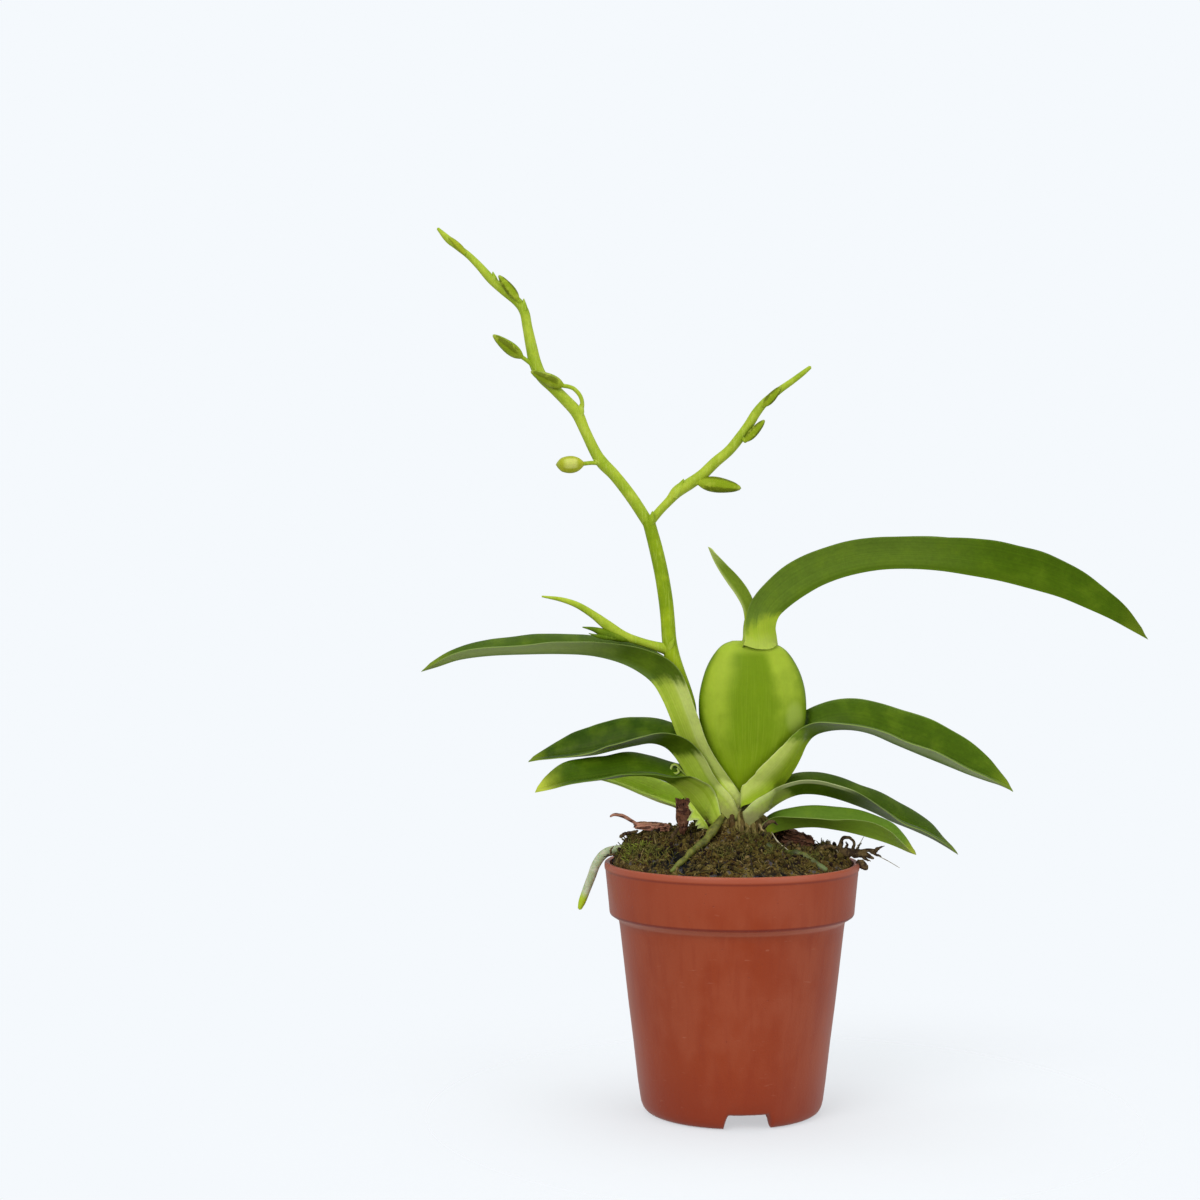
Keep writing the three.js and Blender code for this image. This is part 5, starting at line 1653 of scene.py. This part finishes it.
APEX_SMALL_SKIN = leaf_finish(
    "leaf_apex_small_skin",
    paint(112, 136, 50),
    paint(124, 148, 56),
    NECK_GREEN,
    0.3,
    membrane=2,
    slant=0,
    keel=paint(192, 206, 124),
    tip=(paint(180, 196, 110), 0.72),
    foot=(paint(172, 190, 88), 93),
)
leaf(
    "leaf_apex_long",
    LEAF_APEX_LONG,
    1,
    -0.15,
    APEX_LONG_SKIN,
    cup=0.2,
    hem=lambda out: 0.7 * out**3 - 1.3 * math.sin(math.pi * out),
)
leaf(
    "leaf_apex_small",
    LEAF_APEX_SMALL,
    -1,
    0,
    APEX_SMALL_SKIN,
    cup=0.25,
    hem=lambda out: 1.7 * out**2,
)

# Old sheath. A split, papery sheath at the left of the rootstock, pale yellow-green with a frayed edge.
OLD_SHEATH = [
    (-4.4, -4.2, 54.6, 1.0, 58, 20),
    (-5.1, -4.3, 56.4, 1.9, 58, 20),
    (-6.6, -4.4, 58.5, 2.1, 60, 20),
    (-8.3, -4.4, 60.7, 0.8, 62, 20),
]
OLD_SHEATH_SKIN = leaf_finish(
    "sheath_old_skin",
    paint(160, 186, 70),
    paint(168, 192, 76),
    paint(184, 206, 92),
    2,
    membrane=0.66,
    keel=paint(220, 232, 150),
    foot=(paint(150, 150, 84), 55.2),
)
leaf("sheath_old", OLD_SHEATH, 1, 0, OLD_SHEATH_SKIN, ragged=0.6)

# Flower stem. A bright green stalk from the left leaf's axil that forks high up, with a side shoot, a
# small bract at each joint, and buds on thin stalks. Rows hold x, y, z and radius.
STALK = [
    (-2.4, 0, 64.2, 0.5),
    (-4.0, 0, 67.0, 0.7),
    (-5.6, 0, 70.0, 0.8),
    (-7.0, 0, 73.6, 0.9),
    (-7.7, 0, 76.6, 0.95),
    (-8.1, 0, 79.4, 1.05),
    (-9.2, 0, 82.5, 1.25),
    (-10.5, 0, 85.6, 1.42),
    (-11.7, 0, 88.8, 1.58),
    (-12.3, 0, 92.1, 1.48),
    (-12.6, 0, 96.1, 1.44),
    (-13.0, 0, 100.0, 1.45),
    (-13.8, 0, 105.0, 1.42),
    (-14.9, 0, 110.0, 1.38),
    (-15.9, 0, 113.8, 1.3),
    (-16.4, 0, 115.6, 1.3),
]
BRANCH_LEFT = [
    (-16.3, 0, 115.0, 1.15),
    (-19.6, 0.3, 120.1, 1.18),
    (-22.9, 0.6, 124.4, 1.15),
    (-25.4, 0.9, 127.0, 1.22),
    (-26.9, 1.1, 129.3, 1.1),
    (-28.9, 1.4, 133.5, 1.05),
    (-30.5, 1.7, 137.0, 1.2),
    (-32.8, 1.9, 139.6, 1.15),
    (-35.2, 2.2, 142.0, 1.1),
    (-37.4, 2.5, 144.2, 1.15),
    (-38.7, 2.7, 146.8, 1.25),
    (-39.5, 2.9, 150.2, 1.15),
    (-40.3, 3.2, 154.1, 1.0),
    (-40.9, 3.4, 157.1, 0.98),
    (-42.3, 3.6, 159.2, 0.95),
    (-45.2, 3.9, 161.6, 0.9),
    (-47.6, 4.1, 163.8, 0.9),
    (-49.9, 4.3, 166.4, 0.78),
    (-52.1, 4.5, 168.6, 0.68),
    (-54.4, 4.7, 170.4, 0.66),
    (-56.2, 4.8, 171.9, 0.72),
    (-58.2, 5.0, 174.0, 0.3),
]
BRANCH_RIGHT = [
    (-16.1, 0.2, 115.2, 0.9),
    (-14.1, 0, 117.6, 0.85),
    (-12.2, -0.3, 119.6, 0.9),
    (-10.6, -0.5, 121.4, 1.2),
    (-8.2, -0.8, 122.9, 1.16),
    (-5.8, -1.2, 124.6, 1.1),
    (-3.3, -1.6, 127.0, 1.06),
    (-0.7, -2.0, 129.2, 1.0),
    (1.3, -2.4, 131.6, 1.0),
    (3.1, -2.7, 134.1, 0.96),
    (4.5, -3.0, 136.4, 0.92),
    (6.0, -3.3, 138.3, 0.82),
    (7.6, -3.6, 139.7, 0.78),
    (9.2, -3.8, 141.0, 0.68),
    (11.5, -4.2, 142.6, 0.6),
    (13.5, -4.5, 144.1, 0.52),
    (15.0, -4.8, 145.3, 0.36),
]
SIDE_SHOOT = [
    (-12.2, 0, 90.2, 1.25),
    (-14.9, -0.6, 90.9, 0.95),
    (-17.9, -1.2, 91.8, 0.82),
    (-21.2, -1.8, 93.0, 0.9),
    (-24.4, -2.4, 95.0, 1.0),
    (-27.2, -2.8, 97.1, 0.76),
    (-30.3, -3.2, 99.0, 0.62),
    (-33.5, -3.6, 100.1, 0.46),
    (-37.2, -4.0, 100.7, 0.18),
]
SIDE_SHOOT_PRONGS = [
    [
        (-19.4, -1.7, 92.0, 0.4),
        (-22.4, -2.1, 92.7, 0.95),
        (-25.0, -2.5, 93.5, 0.95),
        (-27.2, -2.9, 94.3, 0.5),
        (-29.3, -3.3, 94.7, 0.12),
    ],
    [
        (-22.8, -2.5, 92.4, 0.4),
        (-25.4, -2.9, 92.8, 0.5),
        (-26.9, -3.1, 93.1, 0.3),
        (-28.1, -3.2, 93.5, 0.06),
    ],
]
# Each bud's stalk, the bud's two ends, and its radius, how dark its stripes are and how blunt its tip is
BUDS = {
    "bud_1": (
        [(-25.6, 0.9, 126.9), (-27.4, 0.2, 127.0)],
        ((-29.2, -0.4, 126.8), (-34.2, -0.8, 126.6)),
        (1.8, 0.2, 0.8),
    ),
    "bud_2": (
        [(-38.4, 2.6, 145.6), (-39.9, 2.1, 147.0)],
        ((-41.3, 1.6, 148.0), (-46.9, 0.8, 152.2)),
        (1.35, 1.0, 0.2),
    ),
    "bud_3": (
        [
            (-29.7, 1.2, 136.6),
            (-29.4, 0.9, 138.6),
            (-29.8, 0.6, 140.2),
            (-30.9, 0.4, 141.5),
            (-32.0, 0.3, 142.0),
        ],
        ((-33.2, 0.3, 142.2), (-39.4, 0.4, 145.0)),
        (1.35, 1.0, 0.2),
    ),
    "bud_4": (
        [(-41.4, 3.4, 158.0), (-41.8, 3.0, 158.8)],
        ((-42.1, 2.6, 159.4), (-45.9, 2.6, 164.2)),
        (1.05, 1.0, 0.3),
    ),
    "bud_5": (
        [(-53.4, 4.6, 169.6), (-53.0, 4.3, 169.2)],
        ((-52.6, 4.0, 168.8), (-55.8, 4.0, 172.1)),
        (0.7, 0.6, 0.3),
    ),
    "bud_6": (
        [(-9.2, -0.7, 122.3), (-7.6, -1.2, 122.8)],
        ((-6.6, -1.6, 123.0), (1.5, -2.0, 121.9)),
        (1.65, 1.0, 0.35),
    ),
    "bud_7": (
        [(2.0, -2.6, 132.2), (2.2, -3.0, 131.4)],
        ((2.5, -3.6, 131.0), (6.1, -3.8, 135.0)),
        (0.95, 1.0, 0.4),
    ),
    "bud_8": (
        [(5.9, -3.3, 138.2), (6.0, -3.8, 138.0)],
        ((6.0, -4.1, 137.8), (9.3, -4.4, 141.5)),
        (0.95, 1.0, 0.3),
    ),
}
BUD_STALK_RADIUS = 0.42
# Each bract's foot, its tip and its radius
BRACTS = [
    ((-16.0, -0.6, 114.6), (-15.6, -1.5, 117.4), 0.7),
    ((-12.4, -1.0, 90.4), (-11.4, -1.7, 92.4), 0.6),
    ((-24.8, 0.6, 126.2), (-27.2, 0.3, 127.7), 0.75),
    ((-29.9, 1.4, 136.0), (-29.5, 0.9, 139.2), 0.8),
    ((-37.8, 2.4, 144.2), (-39.6, 1.9, 147.0), 0.85),
    ((-41.0, 3.2, 156.6), (-41.0, 2.9, 159.7), 0.8),
    ((-46.6, 3.9, 162.6), (-47.2, 3.9, 165.2), 0.65),
    ((-11.4, -0.8, 120.2), (-9.5, -1.5, 123.7), 0.85),
    ((1.2, -2.6, 131.2), (2.4, -3.2, 134.6), 0.6),
]


def stem_finish(name, bright, deep, pale, shade_below=0):
    """Fresh green stem: cloudy along its length, with fine lines, and painted shade below a height where
    asked.
    """
    finish = Finish(name, living(0.1, 0.001, 0.25))
    spot = finish.place()
    cloud = finish.noise(spot, 5, 3)
    ribs = finish.noise(spot, 0.35, 3, (1, 1, 0.12))
    fleck = finish.noise(spot, 0.5, 3)
    colour = finish.mix(finish.band(cloud, 0.35, 0.65), deep, bright)
    colour = finish.mix(0.3 * finish.band(ribs, 0.5, 0.66), colour, pale)
    colour = finish.shade(colour, 0.85 + 0.3 * fleck)
    _, _, height = finish.split(spot)
    # painted shade: a duller, darker green below the given height
    painted_shade = 0.75 * finish.band(height, shade_below + 4, shade_below - 4)
    finish.show(
        {
            "Base Color": finish.mix(painted_shade, colour, paint(122, 146, 44)),
            "Roughness": 0.45 + 0.15 * fleck,
            "Normal": finish.bump(0.6 * ribs + 0.4 * fleck, 0.06),
        }
    )
    return finish


stalk_finish = stem_finish("stalk_skin", paint(154, 177, 46), paint(128, 154, 40), paint(178, 198, 88), 86)
branch_finish = stem_finish("branch_skin", paint(174, 192, 68), paint(148, 172, 54), paint(190, 206, 104))
mesh = bmesh.new()
tube(mesh, STALK, 24, 160, grooves=5, depth=0.05)
settle(mesh, "stalk", stalk_finish, ["flower_stem"])
mesh = bmesh.new()
tube(mesh, BRANCH_LEFT, 20, 190, grooves=4, depth=0.06)
tube(mesh, BRANCH_RIGHT, 20, 140, grooves=4, depth=0.06)
tube(mesh, SIDE_SHOOT, 16, 90)
settle(mesh, "branches", branch_finish, ["flower_stem"])
prong_finish = stem_finish("prong_skin", paint(122, 146, 44), paint(92, 118, 34), paint(142, 166, 64))
mesh = bmesh.new()
for rows in SIDE_SHOOT_PRONGS:
    tube(mesh, rows, 14, 40, grooves=2, depth=0.2)
settle(mesh, "side_shoot_prongs", prong_finish, ["flower_stem"])

bract_finish = stem_finish("bract_skin", paint(182, 202, 78), paint(142, 168, 48), paint(208, 220, 128))
mesh = bmesh.new()
for foot, tip, radius in BRACTS:
    belly = [f + 0.45 * (t - f) for f, t in zip(foot, tip)]
    tube(mesh, [(*foot, radius * 0.9), (*belly, radius), (*tip, 0.12)], 14, 24, grooves=2, depth=0.25)
settle(mesh, "bracts", bract_finish, ["flower_stem"])

# How a bud swells: the share of its length, and its radius there when it is slim and when it is blunt
BUD_SWELL = [
    (0.0, 0.38, 0.3),
    (0.13, 0.8, 0.62),
    (0.28, 1.0, 0.86),
    (0.46, 0.98, 1.0),
    (0.66, 0.78, 1.0),
    (0.86, 0.48, 0.84),
    (1.0, 0.18, 0.42),
]
for name, (stem, (base, tip), (radius, dark, blunt)) in BUDS.items():
    finish = Finish(name + "_skin", living(0.1, 0.001, 0.22))
    turn, along, _ = finish.chart()
    spot = finish.place()
    cloud = finish.noise(spot, 1.2, 3)
    petal = finish.maths("COSINE", turn * (2 * math.pi * 3))
    stripe = finish.band(petal + 1.2 * (cloud - 0.5), 0.3, -0.6)
    body = finish.coat(
        paint(172, 190, 62),
        (finish.band(along, 0.05, 0.5), (146, 168, 48)),
        (0.5 * dark, (124, 146, 38)),
        (0.9 * dark * stripe * finish.band(along, 0.05, 0.35), (100, 112, 28)),
        (0.5 * finish.band(cloud, 0.52, 0.7), (176, 190, 72)),
    )
    front = finish.maths("COSINE", turn * (2 * math.pi) - math.pi / 4)
    heart = finish.band(along, 0.22, 0.4) * finish.band(along, 0.82, 0.62) * finish.band(front, 0.72, 0.9)
    body = finish.coat(
        body,
        (0.8 * (1 - dark), (184, 186, 60)),
        ((1 - dark) * heart, (210, 216, 120)),
        (0.7 * finish.band(along, 0.86, 0.98), (166, 180, 84)),
    )
    finish.show(
        {
            "Base Color": body,
            "Roughness": 0.42 + 0.12 * cloud,
            "Normal": finish.bump(finish.noise(spot, 0.3, 3) + cloud, 0.08),
        }
    )
    mesh = bmesh.new()
    rows = []
    for share, slim, round_end in BUD_SWELL:
        place = [b + share * (t - b) for b, t in zip(base, tip)]
        rows.append((*place, radius * (slim + blunt * (round_end - slim))))
    tube(mesh, rows, 36, 60, grooves=3, depth=0.12)
    settle(mesh, name, finish, ["flower_stem"])
    mesh = bmesh.new()
    tube(mesh, [(*place, BUD_STALK_RADIUS) for place in [*stem, base]], 12, 40)
    settle(mesh, name + "_stalk", branch_finish, ["flower_stem"])
